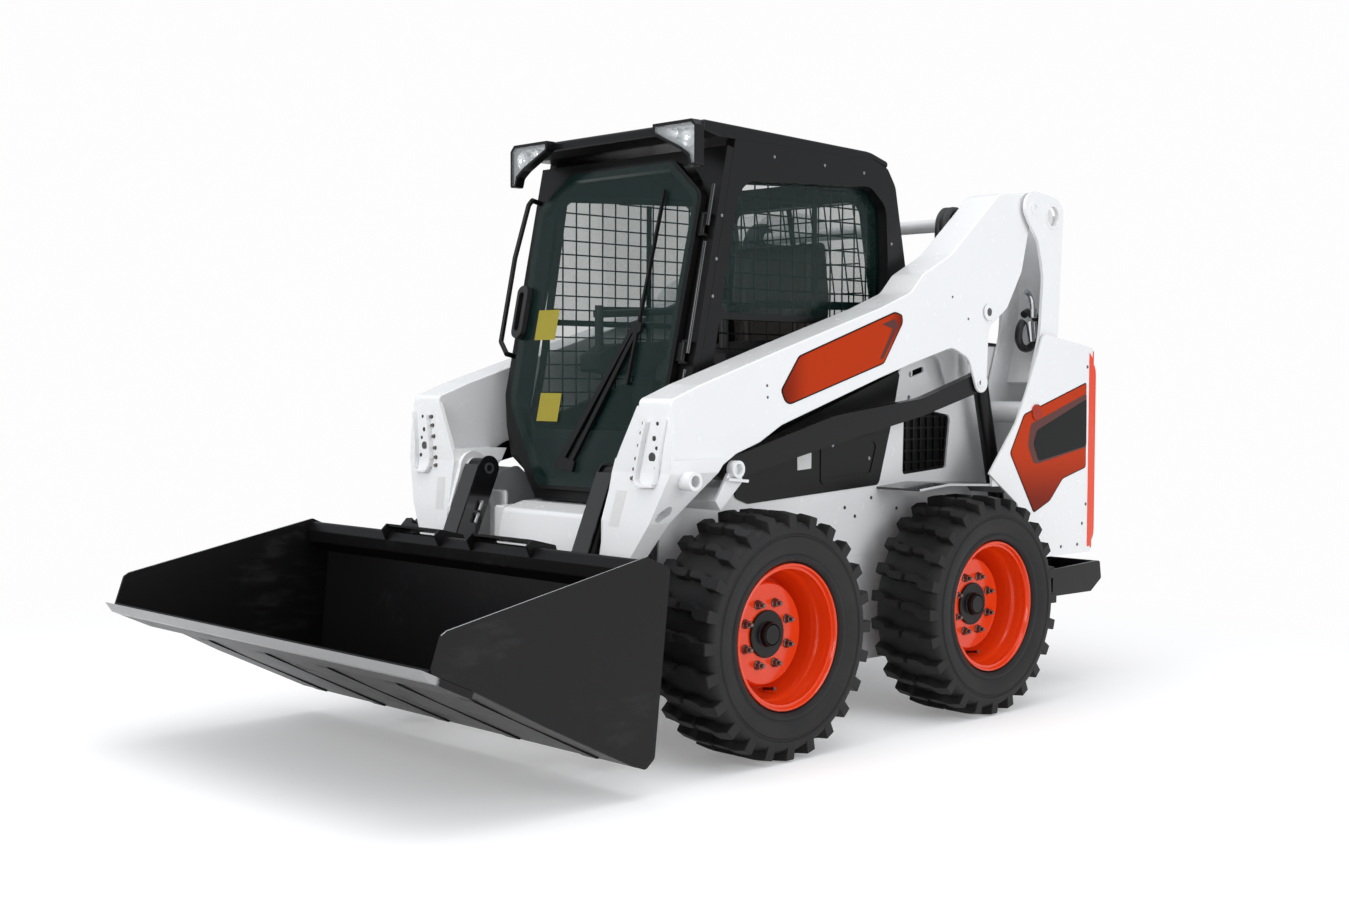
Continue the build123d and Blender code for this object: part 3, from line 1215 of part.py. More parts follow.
LINK_EYE_RADIUS = 56.0
LINK_HOLE = (WHEELBASE + 547, 1792.0)
LINK_HOLE_RADIUS = 37.5
LINK_OUTLINE = [
    # behind the front axle, height, corner radius
    (WHEELBASE + 390, 1862, 40),
    (WHEELBASE + 440, 1878, 40),
    (WHEELBASE + 573, 1862, 45),
    (WHEELBASE + 623, 1826, 40),
    (WHEELBASE + 613, 1657, 0),
    (WHEELBASE + 597, 1366, 100),
    (WHEELBASE + 493, 1040, 20),
    (WHEELBASE + 473, 1005, 20),
    (WHEELBASE + 393, 1005, 20),
    (WHEELBASE + 379, 1060, 20),
    (WHEELBASE + 478, 1350, 200),
    (WHEELBASE + 496, 1569, 200),
    (WHEELBASE + 460, 1690, 60),
    (WHEELBASE + 385, 1780, 30),
]
TOWER_SPAN = TOWER_OUTER_X - TOWER_INNER_X
with BuildPart() as rear_links:
    for x in (TOWER_INNER_X, TOWER_OUTER_X - TOWER_PLATE):
        with BuildSketch(side(x)):
            rounded(*LINK_OUTLINE)
            with Locations(LINK_BASE):
                Circle(LINK_EYE_RADIUS)
                Circle(PIN_RADIUS + RUNNING, mode=Mode.SUBTRACT)
            with Locations(ARM_PIVOT):
                Circle(LINK_EYE_RADIUS)
            with Locations(LINK_HOLE):
                Circle(LINK_HOLE_RADIUS, mode=Mode.SUBTRACT)
        extrude(amount=TOWER_PLATE)
    # closing plate along the rear edge and the boss at the foot
    with BuildSketch(side(TOWER_INNER_X + TOWER_PLATE)):
        outline(
            (WHEELBASE + 620, 1800), (WHEELBASE + 613, 1657), (WHEELBASE + 597, 1366),
            (WHEELBASE + 533, 1165),
            (WHEELBASE + 523, 1170), (WHEELBASE + 585, 1369), (WHEELBASE + 601, 1657),
            (WHEELBASE + 608, 1800),
        )
    extrude(amount=TOWER_SPAN - 2 * TOWER_PLATE)
    with BuildSketch(side(TOWER_INNER_X + TOWER_PLATE)):
        with Locations(LINK_BASE):
            Circle(2 * PIN_RADIUS)
            Circle(PIN_RADIUS + RUNNING, mode=Mode.SUBTRACT)
    extrude(amount=TOWER_SPAN - 2 * TOWER_PLATE)
    with BuildSketch(side(TOWER_INNER_X)):
        with Locations(ARM_PIVOT):
            Circle(PIN_RADIUS)
    extrude(amount=TOWER_SPAN)
    # raised ring and pin head on the outer plate
    with BuildSketch(side(TOWER_OUTER_X)):
        with Locations(LINK_HOLE):
            Circle(LINK_HOLE_RADIUS + 8)
            Circle(LINK_HOLE_RADIUS, mode=Mode.SUBTRACT)
        with Locations(ARM_PIVOT):
            Circle(PIN_RADIUS + 4)
            Circle(PIN_RADIUS - 8, mode=Mode.SUBTRACT)
    extrude(amount=4)
    mirror(about=Plane.YZ)
write("rear_links", rear_links)

CONTROL_EYE_RADIUS = 36.0
with BuildPart() as control_links:
    with BuildSketch(side(CONTROL_LINK_X)):
        rounded(
            (CONTROL_BASE[0], 932, 0), (425, 1056, 600), (897, 1112, 400), (KNEE[0], 1203, 0),
            (KNEE[0], 1131, 0),
            (896, 1050, 400), (425, 962, 600), (CONTROL_BASE[0], 860, 0),
        )
        with Locations(CONTROL_BASE, KNEE):
            Circle(CONTROL_EYE_RADIUS)
        with Locations(CONTROL_BASE):
            Circle(EAR_PIN_RADIUS + RUNNING, mode=Mode.SUBTRACT)
    extrude(amount=CONTROL_LINK_THICK)
    mirror(about=Plane.YZ)
write("control_links", control_links)


# ---------------------------------------------------------------- cylinders
def axis_plane(x, start, end):
    """Plane at start whose normal points to end, for a cylinder in a side plane."""
    direction = Vector(0, end[0] - start[0], end[1] - start[1]).normalized()
    return Plane(origin=(x, FRONT_AXLE_Y + start[0], start[1]), x_dir=(1, 0, 0), z_dir=direction)


def span(start, end):
    """Distance between two side points."""
    return hypot(end[0] - start[0], end[1] - start[1])


GLAND_LENGTH = 36.0
GLAND_LIP = 5.0
BORE_START = 50.0                          # bottom of the rod's bore, from the barrel's pivot
ROD_STOP = 60.0                            # gap from the rod's end to the barrel's pivot
CYLINDERS = [
    # name, x, barrel pivot, rod eye, barrel radius, rod radius, barrel length past its pivot
    ("lift", LIFT_CYLINDER_X, LIFT_BASE, LIFT_EYE, LIFT_BARREL_RADIUS, LIFT_ROD_RADIUS, 700.0),
    ("tilt", TILT_CYLINDER_X, TILT_BASE, TILT_EYE, TILT_BARREL_RADIUS, TILT_ROD_RADIUS, 470.0),
]
for name, x, base, eye, barrel_radius, rod_radius, barrel_length in CYLINDERS:
    with BuildPart() as barrel:
        with BuildSketch(axis_plane(x, base, eye)):
            Circle(barrel_radius - GLAND_LIP)
        extrude(amount=barrel_length)
        # gland at the rod's end
        with BuildSketch(axis_plane(x, base, eye).offset(barrel_length - GLAND_LENGTH)):
            Circle(barrel_radius)
        extrude(amount=GLAND_LENGTH)
        with BuildSketch(side(x - barrel_radius)):
            with Locations(base):
                Circle(barrel_radius)
        extrude(amount=2 * barrel_radius)
        with BuildSketch(side(x - barrel_radius - 1)):
            with Locations(base):
                Circle(PIN_RADIUS + RUNNING)
        extrude(amount=2 * barrel_radius + 2, mode=Mode.SUBTRACT)
        with BuildSketch(axis_plane(x, base, eye).offset(BORE_START)):
            Circle(rod_radius + RUNNING)
        extrude(amount=barrel_length, mode=Mode.SUBTRACT)
        mirror(about=Plane.YZ)
    write(f"{name}_barrels", barrel)

    with BuildPart() as rod:
        with BuildSketch(axis_plane(x, eye, base)):
            Circle(rod_radius)
        extrude(amount=span(base, eye) - ROD_STOP)
        with BuildSketch(side(x - barrel_radius)):
            with Locations(eye):
                Circle(PIN_RADIUS + 16)
        extrude(amount=2 * barrel_radius)
        mirror(about=Plane.YZ)
    write(f"{name}_rods", rod)

# ---------------------------------------------------------------- coupler and bucket
BACK_FOOT = (-603.0, 130.0)
BACK_TOP = (-562.0, 600.0)


def back_y(z):
    """Rear face of the bucket's back plate at height z, behind the front axle."""
    return BACK_FOOT[0] + (BACK_TOP[0] - BACK_FOOT[0]) * (z - BACK_FOOT[1]) / (BACK_TOP[1] - BACK_FOOT[1])


COUPLER_PLATE = 12.0
COUPLER_FOOT_Z = 150.0
COUPLER_TOP_Z = 520.0
COUPLER_LUG = 14.0
TILT_LUG = 12.0
INNER_LUG_X = TILT_CYLINDER_X + TILT_BARREL_RADIUS + 4
with BuildPart() as coupler:
    with BuildSketch(side(-COUPLER_HALF)):
        outline(
            (back_y(COUPLER_FOOT_Z) + SEAT_GAP, COUPLER_FOOT_Z),
            (back_y(COUPLER_TOP_Z) + SEAT_GAP, COUPLER_TOP_Z),
            (back_y(COUPLER_TOP_Z) + COUPLER_PLATE, COUPLER_TOP_Z),
            (back_y(COUPLER_FOOT_Z) + COUPLER_PLATE, COUPLER_FOOT_Z),
        )
    extrude(amount=2 * COUPLER_HALF)
    # clear of the tilt cylinders' eyes
    for x in (-TILT_CYLINDER_X, TILT_CYLINDER_X):
        with BuildSketch(Plane(origin=(x, 0, 0), x_dir=(1, 0, 0), z_dir=(0, -1, 0))):
            with Locations((0, 320)):
                RectangleRounded(2 * TILT_BARREL_RADIUS + 10, 250, 20)
        extrude(amount=2000, mode=Mode.SUBTRACT)
    # lugs of the arm's foot
    for inner in (INNER_LUG_X, LEG_OUTER_X + SIDE_CLEARANCE):
        with BuildSketch(side(inner)):
            rounded(
                (back_y(112) + 1, 112, 0), (-440, 106, 20), (-412, 150, 20), (-440, 190, 30), (-560, 470, 6),
                (back_y(470) + 4, 470, 0),
            )
            with Locations(BUCKET_PIVOT):
                Circle(44)
        extrude(amount=TILT_LUG if inner == INNER_LUG_X else COUPLER_LUG)
    # lugs of the tilt cylinder's eye
    for inner in (TILT_CYLINDER_X - TILT_BARREL_RADIUS - 4 - TILT_LUG, INNER_LUG_X):
        with BuildSketch(side(inner)):
            rounded(
                (back_y(190) + 4, 190, 0), (-500, 320, 30), (-470, 355, 15), (-500, 392, 30), (-555, 480, 8),
                (back_y(480) + 4, 480, 0),
            )
            with Locations(TILT_EYE):
                Circle(32)
        extrude(amount=TILT_LUG)
    # stub pins that stop short of the eye
    inner_stub = TILT_CYLINDER_X - TILT_BARREL_RADIUS - 8 - TILT_LUG
    outer_stub = TILT_CYLINDER_X + TILT_BARREL_RADIUS + 2
    for start in (inner_stub, outer_stub):
        with BuildSketch(side(start)):
            with Locations(TILT_EYE):
                Circle(PIN_RADIUS)
        extrude(amount=TILT_LUG + 6)
    with BuildSketch(side(INNER_LUG_X)):
        with Locations(BUCKET_PIVOT):
            Circle(PIN_RADIUS)
    extrude(amount=LEG_OUTER_X + SIDE_CLEARANCE + COUPLER_LUG + 6 - INNER_LUG_X)
    mirror(about=Plane.YZ)
write("coupler", coupler)

STEP_CENTRES = (-230.0, 230.0)
STEP_HALF = 150.0
STEP_PLATE = 8.0
SKID_XS = (-700.0, -350.0, 0.0, 350.0, 700.0)
SKID_HALF = 30.0
BUCKET_SIDE = [
    # behind the front axle, height, corner radius
    (-1368, 439, 4),
    (-1336, 531, 12),
    (-1319, 541, 10),
    (-634, 680, 10),
    (-545, 641, 14),
    (-603, 109, 14),
    (-638, 82, 18),
    (-666, 93, 18),
    (-995, 251, 0),
    (-1231, 376, 0),
]
BUCKET_INNER_HALF = BUCKET_HALF - BUCKET_PLATE
with BuildPart() as bucket:
    with BuildSketch(side(-BUCKET_INNER_HALF)):
        rounded(
            (-1372, 440, 0), (-1231, 375, 0), (-995, 251, 0), (-675, 95, 30), (-640, 84, 30), (-612, 98, 30),
            (*BACK_FOOT, 60), (*BACK_TOP, 0), (-570, 601, 0), (-611, 132, 52), (-620, 108, 22),
            (-640, 94, 22),
            (-672, 104, 22), (-991, 260, 0), (-1227, 384, 0), (-1368, 448, 0),
        )
        # top beam, folded from plate
        rounded(
            (*BACK_TOP, 0), (-545, 641, 8), (-560, 650, 8), (-640, 672, 10), (-652, 640, 8), (-646, 600, 10),
            (-570, 560, 0),
        )
    extrude(amount=2 * BUCKET_INNER_HALF)
    for x in (-BUCKET_HALF, BUCKET_INNER_HALF):
        with BuildSketch(side(x)):
            rounded(*BUCKET_SIDE)
        extrude(amount=BUCKET_PLATE)
    # two steps on the top beam, each a plate on two cheeks
    for centre in STEP_CENTRES:
        for x in (centre - STEP_HALF, centre + STEP_HALF - STEP_PLATE):
            with BuildSketch(side(x)):
                rounded((-552, 645, 0), (-560, 672, 6), (-652, 694, 6), (-672, 676, 6), (-656, 640, 0))
            extrude(amount=STEP_PLATE)
        with BuildSketch(side(centre - STEP_HALF)):
            outline((-560, 664), (-560, 672), (-652, 694), (-652, 686))
        extrude(amount=2 * STEP_HALF)
        with BuildSketch(Plane(origin=(centre, 0, 640))):
            with Locations((0, FRONT_AXLE_Y - 606)):
                with GridLocations(64, 0, 3, 1):
                    SlotOverall(50, 30)
        extrude(amount=80, mode=Mode.SUBTRACT)
    # skid bars under the floor
    for x in SKID_XS:
        with BuildSketch(side(x - SKID_HALF)):
            outline((-1150, 331), (-1130, 316), (-700, 101), (-690, 104), (-698, 110), (-1148, 336))
        extrude(amount=2 * SKID_HALF)
write("bucket", bucket)

with BuildPart() as cutting_edge:
    with BuildSketch(side(-BUCKET_HALF)):
        outline((-REACH_AHEAD, 451.6), (-1235, 376.4), (-1243, 358), (-1375, 419))
    extrude(amount=2 * BUCKET_HALF)
write("cutting_edge", cutting_edge)
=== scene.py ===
"""Looks of a compact skid steer loader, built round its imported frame. Lengths are in metres."""

import json
import logging
import math
from dataclasses import dataclass
from enum import Enum
from typing import Any, Iterable, Optional, Sequence, Union

import bmesh
import bpy
from mathutils import Matrix, Vector
from mathutils.bvhtree import BVHTree

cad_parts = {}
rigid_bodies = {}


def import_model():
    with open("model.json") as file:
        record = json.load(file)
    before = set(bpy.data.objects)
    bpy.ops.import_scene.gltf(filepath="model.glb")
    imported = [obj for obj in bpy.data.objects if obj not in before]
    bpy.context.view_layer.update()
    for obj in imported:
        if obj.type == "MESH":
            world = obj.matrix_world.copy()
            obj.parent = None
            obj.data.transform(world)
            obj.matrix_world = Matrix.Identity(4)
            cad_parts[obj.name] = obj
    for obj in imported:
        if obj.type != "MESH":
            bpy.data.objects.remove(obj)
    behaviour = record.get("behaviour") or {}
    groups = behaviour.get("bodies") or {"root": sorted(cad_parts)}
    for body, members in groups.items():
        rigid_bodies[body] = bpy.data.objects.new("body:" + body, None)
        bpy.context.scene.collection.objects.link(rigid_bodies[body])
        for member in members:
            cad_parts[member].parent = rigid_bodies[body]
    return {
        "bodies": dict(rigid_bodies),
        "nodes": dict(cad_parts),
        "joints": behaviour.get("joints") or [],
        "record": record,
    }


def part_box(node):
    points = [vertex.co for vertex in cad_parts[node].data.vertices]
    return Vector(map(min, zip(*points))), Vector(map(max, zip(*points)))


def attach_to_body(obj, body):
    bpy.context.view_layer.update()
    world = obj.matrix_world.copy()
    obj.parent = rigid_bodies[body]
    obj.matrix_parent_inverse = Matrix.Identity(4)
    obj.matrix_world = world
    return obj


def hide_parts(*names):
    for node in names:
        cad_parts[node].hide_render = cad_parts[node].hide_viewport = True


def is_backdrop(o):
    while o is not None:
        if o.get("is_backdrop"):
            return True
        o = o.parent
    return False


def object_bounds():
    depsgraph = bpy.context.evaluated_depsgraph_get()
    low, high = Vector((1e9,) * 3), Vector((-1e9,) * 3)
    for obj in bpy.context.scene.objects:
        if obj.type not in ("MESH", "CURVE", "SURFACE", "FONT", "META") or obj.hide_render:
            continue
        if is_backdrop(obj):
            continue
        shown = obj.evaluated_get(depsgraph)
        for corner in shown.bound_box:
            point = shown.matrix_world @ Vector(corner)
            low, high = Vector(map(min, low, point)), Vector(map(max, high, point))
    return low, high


LOG = logging.getLogger("loader")

Colour = tuple[float, float, float]
Point2 = tuple[float, float]
Point3 = tuple[float, float, float]
Value = Union[float, "Socket"]
Settings = Optional[dict[str, Any]]
Inputs = Optional[dict[Union[str, int], Any]]
Edge = tuple[Vector, Vector]
Site = tuple[Vector, Vector]
Loop = list[bmesh.types.BMVert]

WHITE_COAT: Colour = (0.86, 0.865, 0.87)
BLACK_COAT: Colour = (0.0058, 0.0058, 0.0063)
ORANGE_COAT: Colour = (0.82, 0.050, 0.004)
# Grey of the painted shadow on the rear panels' top over the wheels.
DECK_SHADOW_GREY: Colour = (0.030, 0.031, 0.033)
CAB_COAT: Colour = (0.0048, 0.0049, 0.0053)

# The machine's own ways: it faces -Y, and +X is its left.
LEFT = Vector((1, 0, 0))
RIGHT = Vector((-1, 0, 0))
REARWARD = Vector((0, 1, 0))
FORWARD = Vector((0, -1, 0))
# A distance from the middle that is clear of the machine's sides and front plates.
OUTSIDE = 2.0
# Radii and gaps below this count as none.
TINY = 1e-6


# ---------------------------------------------------------------- shader building
class Socket:
    """A shader value or colour whose operators add the nodes of an expression."""

    def __init__(self, graph: "Graph", plug: bpy.types.NodeSocket) -> None:
        """Wrap one output of a node.

        Args:
            graph: The material's graph that holds the node.
            plug: The output socket.
        """
        self.graph = graph
        self.plug = plug

    def __add__(self, other: Value) -> "Socket":
        """Sum."""
        return self.graph.maths("ADD", self, other)

    def __radd__(self, other: Value) -> "Socket":
        """Sum, with the number first."""
        return self.graph.maths("ADD", other, self)

    def __sub__(self, other: Value) -> "Socket":
        """Difference."""
        return self.graph.maths("SUBTRACT", self, other)

    def __rsub__(self, other: Value) -> "Socket":
        """Difference, with the number first."""
        return self.graph.maths("SUBTRACT", other, self)

    def __mul__(self, other: Value) -> "Socket":
        """Product."""
        return self.graph.maths("MULTIPLY", self, other)

    def __rmul__(self, other: Value) -> "Socket":
        """Product, with the number first."""
        return self.graph.maths("MULTIPLY", other, self)

    def __truediv__(self, other: Value) -> "Socket":
        """Quotient."""
        return self.graph.maths("DIVIDE", self, other)

    def __rtruediv__(self, other: Value) -> "Socket":
        """Quotient, with the number first."""
        return self.graph.maths("DIVIDE", other, self)

    def __pow__(self, other: Value) -> "Socket":
        """Power."""
        return self.graph.maths("POWER", self, other)

    def __abs__(self) -> "Socket":
        """Size without sign."""
        return self.graph.maths("ABSOLUTE", self, 0.0)


def add_node(
    tree: bpy.types.NodeTree, kind: str, settings: Settings = None, inputs: Inputs = None
) -> bpy.types.Node:
    """Add a node to a tree.

    Args:
        tree: The tree.
        kind: The node's type.
        settings: Attributes that are set first, such as operation.
        inputs: Numbers, outputs of other nodes or wrapped outputs, by the input's name or number.

    Returns:
        The new node.
    """
    made = tree.nodes.new(kind)
    for key, value in (settings or {}).items():
        setattr(made, key, value)
    for key, value in (inputs or {}).items():
        plug = value.plug if isinstance(value, Socket) else value
        if isinstance(plug, bpy.types.NodeSocket):
            tree.links.new(plug, made.inputs[key])
        else:
            made.inputs[key].default_value = value
    return made


def darker(colour: Colour, share: float) -> Colour:
    """A colour with each part brought down to a share of itself."""
    return tuple(part * share for part in colour)


class Graph:
    """The node graph of one material."""

    def __init__(self, name: str) -> None:
        """Start an empty material.

        Args:
            name: The material's name.
        """
        self.material = bpy.data.materials.new(name)
        self.material.use_nodes = True
        self.tree = self.material.node_tree
        self.tree.nodes.clear()
        coords = self.node("ShaderNodeTexCoord")
        self.place = Socket(self, coords.outputs["Object"])

    def node(self, kind: str, settings: Settings = None, inputs: Inputs = None) -> bpy.types.Node:
        """Add a node to the material."""
        return add_node(self.tree, kind, settings, inputs)

    def maths(self, operation: str, first: Value, second: Value, clamp: bool = False) -> Socket:
        """Combine two numbers.

        Args:
            operation: The Math node's operation.
            first: Its first value.
            second: Its second value.
            clamp: Whether the result is held between 0 and 1.

        Returns:
            The result.
        """
        settings = {"operation": operation, "use_clamp": clamp}
        made = self.node("ShaderNodeMath", settings, {0: first, 1: second})
        return Socket(self, made.outputs[0])

    def axes(self) -> tuple[Socket, Socket, Socket]:
        """The three object coordinates."""
        made = self.node("ShaderNodeSeparateXYZ", None, {0: self.place})
        return tuple(Socket(self, plug) for plug in made.outputs)

    def stretched(self, scale: Point3) -> Socket:
        """Object coordinates scaled along each axis.

        Args:
            scale: The three scales.

        Returns:
            The scaled coordinates.
        """
        made = self.node("ShaderNodeMapping", None, {"Vector": self.place, "Scale": scale})
        return Socket(self, made.outputs[0])

    def noise(
        self, scale: float, detail: float = 3.0, rough: float = 0.5, place: Optional[Socket] = None
    ) -> Socket:
        """Cloudy variation from 0 to 1.

        Args:
            scale: Lumps per metre, roughly.
            detail: Octaves.
            rough: How strong the fine octaves are.
            place: Coordinates, or None for the object's own.

        Returns:
            The noise value.
        """
        inputs = {"Vector": place or self.place, "Scale": scale, "Detail": detail, "Roughness": rough}
        return Socket(self, self.node("ShaderNodeTexNoise", None, inputs).outputs[0])

    def rise(self, value: Socket, low: float, high: float) -> Socket:
        """Smooth step from 0 at low to 1 at high.

        Args:
            value: What is tested.
            low: Where the step starts.
            high: Where it ends, which may be below low.

        Returns:
            The mask.
        """
        settings = {"interpolation_type": "SMOOTHSTEP", "clamp": True}
        inputs = {"Value": value, "From Min": low, "From Max": high}
        return Socket(self, self.node("ShaderNodeMapRange", settings, inputs).outputs[0])

    def within(self, value: Socket, low: float, high: float, soft: float = 0.0006) -> Socket:
        """Mask that is 1 between two values.

        Args:
            value: What is tested.
            low: Lower end.
            high: Upper end.
            soft: Width of each edge.

        Returns:
            The mask.
        """
        return self.rise(value, low - soft, low + soft) * self.rise(value, high + soft, high - soft)

    def blend(self, mask: Value, low: Union[Colour, Socket], high: Union[Colour, Socket]) -> Socket:
        """Mix two colours.

        Args:
            mask: 0 gives the first colour and 1 the second.
            low: First colour.
            high: Second colour.

        Returns:
            The mixed colour.
        """
        settings = {"data_type": "RGBA", "blend_type": "MIX", "clamp_factor": True}
        inputs = {0: mask, 6: self.full(low), 7: self.full(high)}
        return Socket(self, self.node("ShaderNodeMix", settings, inputs).outputs[2])

    @staticmethod
    def full(colour: Union[Colour, Socket]) -> Any:
        """The colour with its alpha, or the socket as it is."""
        return colour if isinstance(colour, Socket) else (*colour, 1.0)

    def bump(self, height: Socket, strength: float, distance: float) -> Socket:
        """Normal raised by a height.

        Args:
            height: Height from 0 to 1.
            strength: How much of it is used.
            distance: The height's size.

        Returns:
            The normal.
        """
        inputs = {"Strength": strength, "Distance": distance, "Height": height}
        return Socket(self, self.node("ShaderNodeBump", None, inputs).outputs[0])

    def finish(self, varying: dict[str, Any], fixed: Optional[dict[str, float]] = None) -> bpy.types.Material:
        """Close the graph with its surface shader.

        Args:
            varying: Inputs of the shader that vary or hold a colour.
            fixed: Inputs that are plain numbers.

        Returns:
            The finished material.
        """
        shader = self.node("ShaderNodeBsdfPrincipled", None, {**varying, **(fixed or {})})
        self.node("ShaderNodeOutputMaterial", None, {"Surface": shader.outputs[0]})
        return self.material


# ---------------------------------------------------------------- finishes
@dataclass(frozen=True)
class Paint:
    """Sprayed enamel with orange peel and a dusty foot."""

    colour: Colour
    rough: float = 0.26
    coat: float = 0.35
    dust: Colour = (0.30, 0.27, 0.23)
    dust_height: float = 0.45
    dust_amount: float = 0.10
    tone: float = 0.94
    peel: float = 0.012
    specular: float = 0.5

    def colour_of(self, graph: Graph) -> Socket:
        """The paint's own colour, before its dust.

        Args:
            graph: The material's graph.

        Returns:
            The colour.
        """
        deep = darker(self.colour, self.tone)
        return graph.blend(graph.noise(2.2, 4.0), deep, self.colour)

    def material(self, graph: Graph) -> bpy.types.Material:
        """Build the material on its new graph."""
        _, _, height = graph.axes()
        clouds = graph.noise(9.0, 6.0, 0.62)
        dusty = graph.rise(height, self.dust_height, 0.0) * clouds * (self.dust_amount * 2.0)
        colour = graph.blend(dusty, self.colour_of(graph), self.dust)
        rough = self.rough + 0.10 * (graph.noise(26.0, 5.0, 0.6) - 0.5) + 0.4 * dusty
        peel = graph.bump(graph.noise(180.0, 1.0), self.peel, 0.0008)
        return graph.finish(
            {"Base Color": colour, "Roughness": rough, "Normal": peel},
            {"Coat Weight": self.coat, "Coat Roughness": 0.06, "Specular IOR Level": self.specular},
        )


@dataclass(frozen=True)
class RearDoorPaint(Paint):
    """Orange rim of the rear door round a black louvred panel."""

    half: float = 0.58
    foot: float = 0.58
    top: float = 1.236

    def colour_of(self, graph: Graph) -> Socket:
        """Orange outside the louvred panel, black on it."""
        across, _, height = graph.axes()
        panel = graph.within(across, -self.half, self.half) * graph.within(height, self.foot, self.top)
        return graph.blend(panel, super().colour_of(graph), BLACK_COAT)


@dataclass(frozen=True)
class DeckPaint(Paint):
    """White panel paint whose top over the wheel is darkened as a painted shadow."""

    low: float = 0.757
    high: float = 0.8135
    inner: float = 0.477
    outer: float = 0.6779

    def colour_of(self, graph: Graph) -> Socket:
        """White, with a painted shadow on the top between the side wall and the outer panel."""
        across, _, height = graph.axes()
        # Painted shadow: the top over the wheel is given a dark grey.
        deck_shadow = graph.within(abs(across), self.inner, self.outer) * graph.within(height, self.low, self.high)
        return graph.blend(deck_shadow, super().colour_of(graph), DECK_SHADOW_GREY)


@dataclass(frozen=True)
class RoofPaint(Paint):
    """Cab black whose underside, inside the cab, is pale: partly a pale surface and partly painted light
    under the roof.
    """

    lining_and_light: Colour = (0.46, 0.50, 0.50)
    half: float = 0.405
    front: float = -0.235
    rear: float = 0.590
    top: float = 1.935
    edge: float = 0.002

    def colour_of(self, graph: Graph) -> Socket:
        """Black outside, and pale under the roof, which is partly painted light."""
        across, along, height = graph.axes()
        wide = graph.within(across, -self.half, self.half, self.edge)
        deep = graph.within(along, self.front, self.rear, self.edge)
        below = graph.rise(height, self.top, self.top - self.edge)
        # Partly painted light: the underside inside the cab is given a pale colour.
        return graph.blend(wide * deep * below, super().colour_of(graph), self.lining_and_light)


@dataclass(frozen=True)
class PinPaint(Paint):
    """White paint of the frame's pins, in the badge's colour where the badge runs over them."""

    cap: Colour = (0.36, 0.022, 0.003)
    level: float = 0.80
    outside: float = 0.690

    def colour_of(self, graph: Graph) -> Socket:
        """White below the badge and orange at its height."""
        across, _, height = graph.axes()
        outside = graph.rise(abs(across), self.outside, self.outside + 0.001)
        capped = graph.rise(height, self.level, self.level + 0.01) * outside
        return graph.blend(capped, super().colour_of(graph), self.cap)


@dataclass(frozen=True)
class WornBlack:
    """Black paint of a digging tool, scuffed along its run and bright at its front edge."""

    edge_y: float
    colour: Colour = (0.0048, 0.0048, 0.0053)
    scuffed: Colour = (0.022, 0.022, 0.023)
    steel: Colour = (0.33, 0.33, 0.33)

    def material(self, graph: Graph) -> bpy.types.Material:
        """Build the material on its new graph."""
        _, along, _ = graph.axes()
        streaks = graph.noise(14.0, 6.0, 0.65, graph.stretched((6.0, 0.5, 2.0)))
        patches = graph.noise(3.1, 5.0, 0.6)
        scuffs = graph.rise(streaks * patches, 0.27, 0.42)
        near = graph.rise(along, self.edge_y + 0.050, self.edge_y + 0.004)
        bright = graph.rise(near + 0.7 * (graph.noise(40.0, 5.0, 0.7) - 0.5), 0.55, 0.95)
        worn = graph.blend(scuffs * 0.55, self.colour, self.scuffed)
        colour = graph.blend(bright, worn, self.steel)
        rough = 0.38 + 0.14 * scuffs - 0.04 * bright + 0.06 * (graph.noise(30.0, 4.0) - 0.5)
        normal = graph.bump(graph.noise(260.0, 2.0), 0.05, 0.0008)
        varying = {"Base Color": colour, "Roughness": rough, "Metallic": bright * 0.8, "Normal": normal}
        return graph.finish(varying, {"Specular IOR Level": 0.22})


@dataclass(frozen=True)
class Rubber:
    """Moulded tyre rubber with a fine grain and a trace of dust in its tread."""

    colour: Colour = (0.0090, 0.0090, 0.0096)
    dust: Colour = (0.026, 0.025, 0.024)

    def material(self, graph: Graph) -> bpy.types.Material:
        """Build the material on its new graph."""
        clouds = graph.noise(7.0, 6.0, 0.6)
        colour = graph.blend(graph.rise(clouds, 0.35, 0.8) * 0.5, self.colour, self.dust)
        rough = 0.56 + 0.16 * (clouds - 0.5)
        grain = graph.noise(520.0, 2.0, 0.6) * 0.6 + graph.noise(90.0, 3.0) * 0.4
        normal = graph.bump(grain, 0.16, 0.0010)
        varying = {"Base Color": colour, "Roughness": rough, "Normal": normal}
        return graph.finish(varying, {"Specular IOR Level": 0.3})


@dataclass(frozen=True)
class Metal:
    """Bare or plated metal with fine turning marks and smears."""

    colour: Colour
    rough: float
    smear: float = 0.12

    def material(self, graph: Graph) -> bpy.types.Material:
        """Build the material on its new graph."""
        clouds = graph.noise(22.0, 6.0, 0.65)
        deep = darker(self.colour, 0.72)
        colour = graph.blend(clouds, deep, self.colour)
        rough = self.rough + self.smear * (clouds - 0.4)
        normal = graph.bump(graph.noise(600.0, 2.0), 0.05, 0.0005)
        varying = {"Base Color": colour, "Roughness": rough, "Normal": normal}
        return graph.finish(varying, {"Metallic": 1.0})


@dataclass(frozen=True)
class Plastic:
    """Grained moulding."""

    colour: Colour
    rough: float = 0.52
    grain: float = 0.14

    def material(self, graph: Graph) -> bpy.types.Material:
        """Build the material on its new graph."""
        clouds = graph.noise(11.0, 4.0)
        deep = darker(self.colour, 0.82)
        colour = graph.blend(clouds, deep, self.colour)
        rough = self.rough + 0.10 * (clouds - 0.5)
        normal = graph.bump(graph.noise(420.0, 2.0, 0.6), self.grain, 0.0008)
        return graph.finish({"Base Color": colour, "Roughness": rough, "Normal": normal})


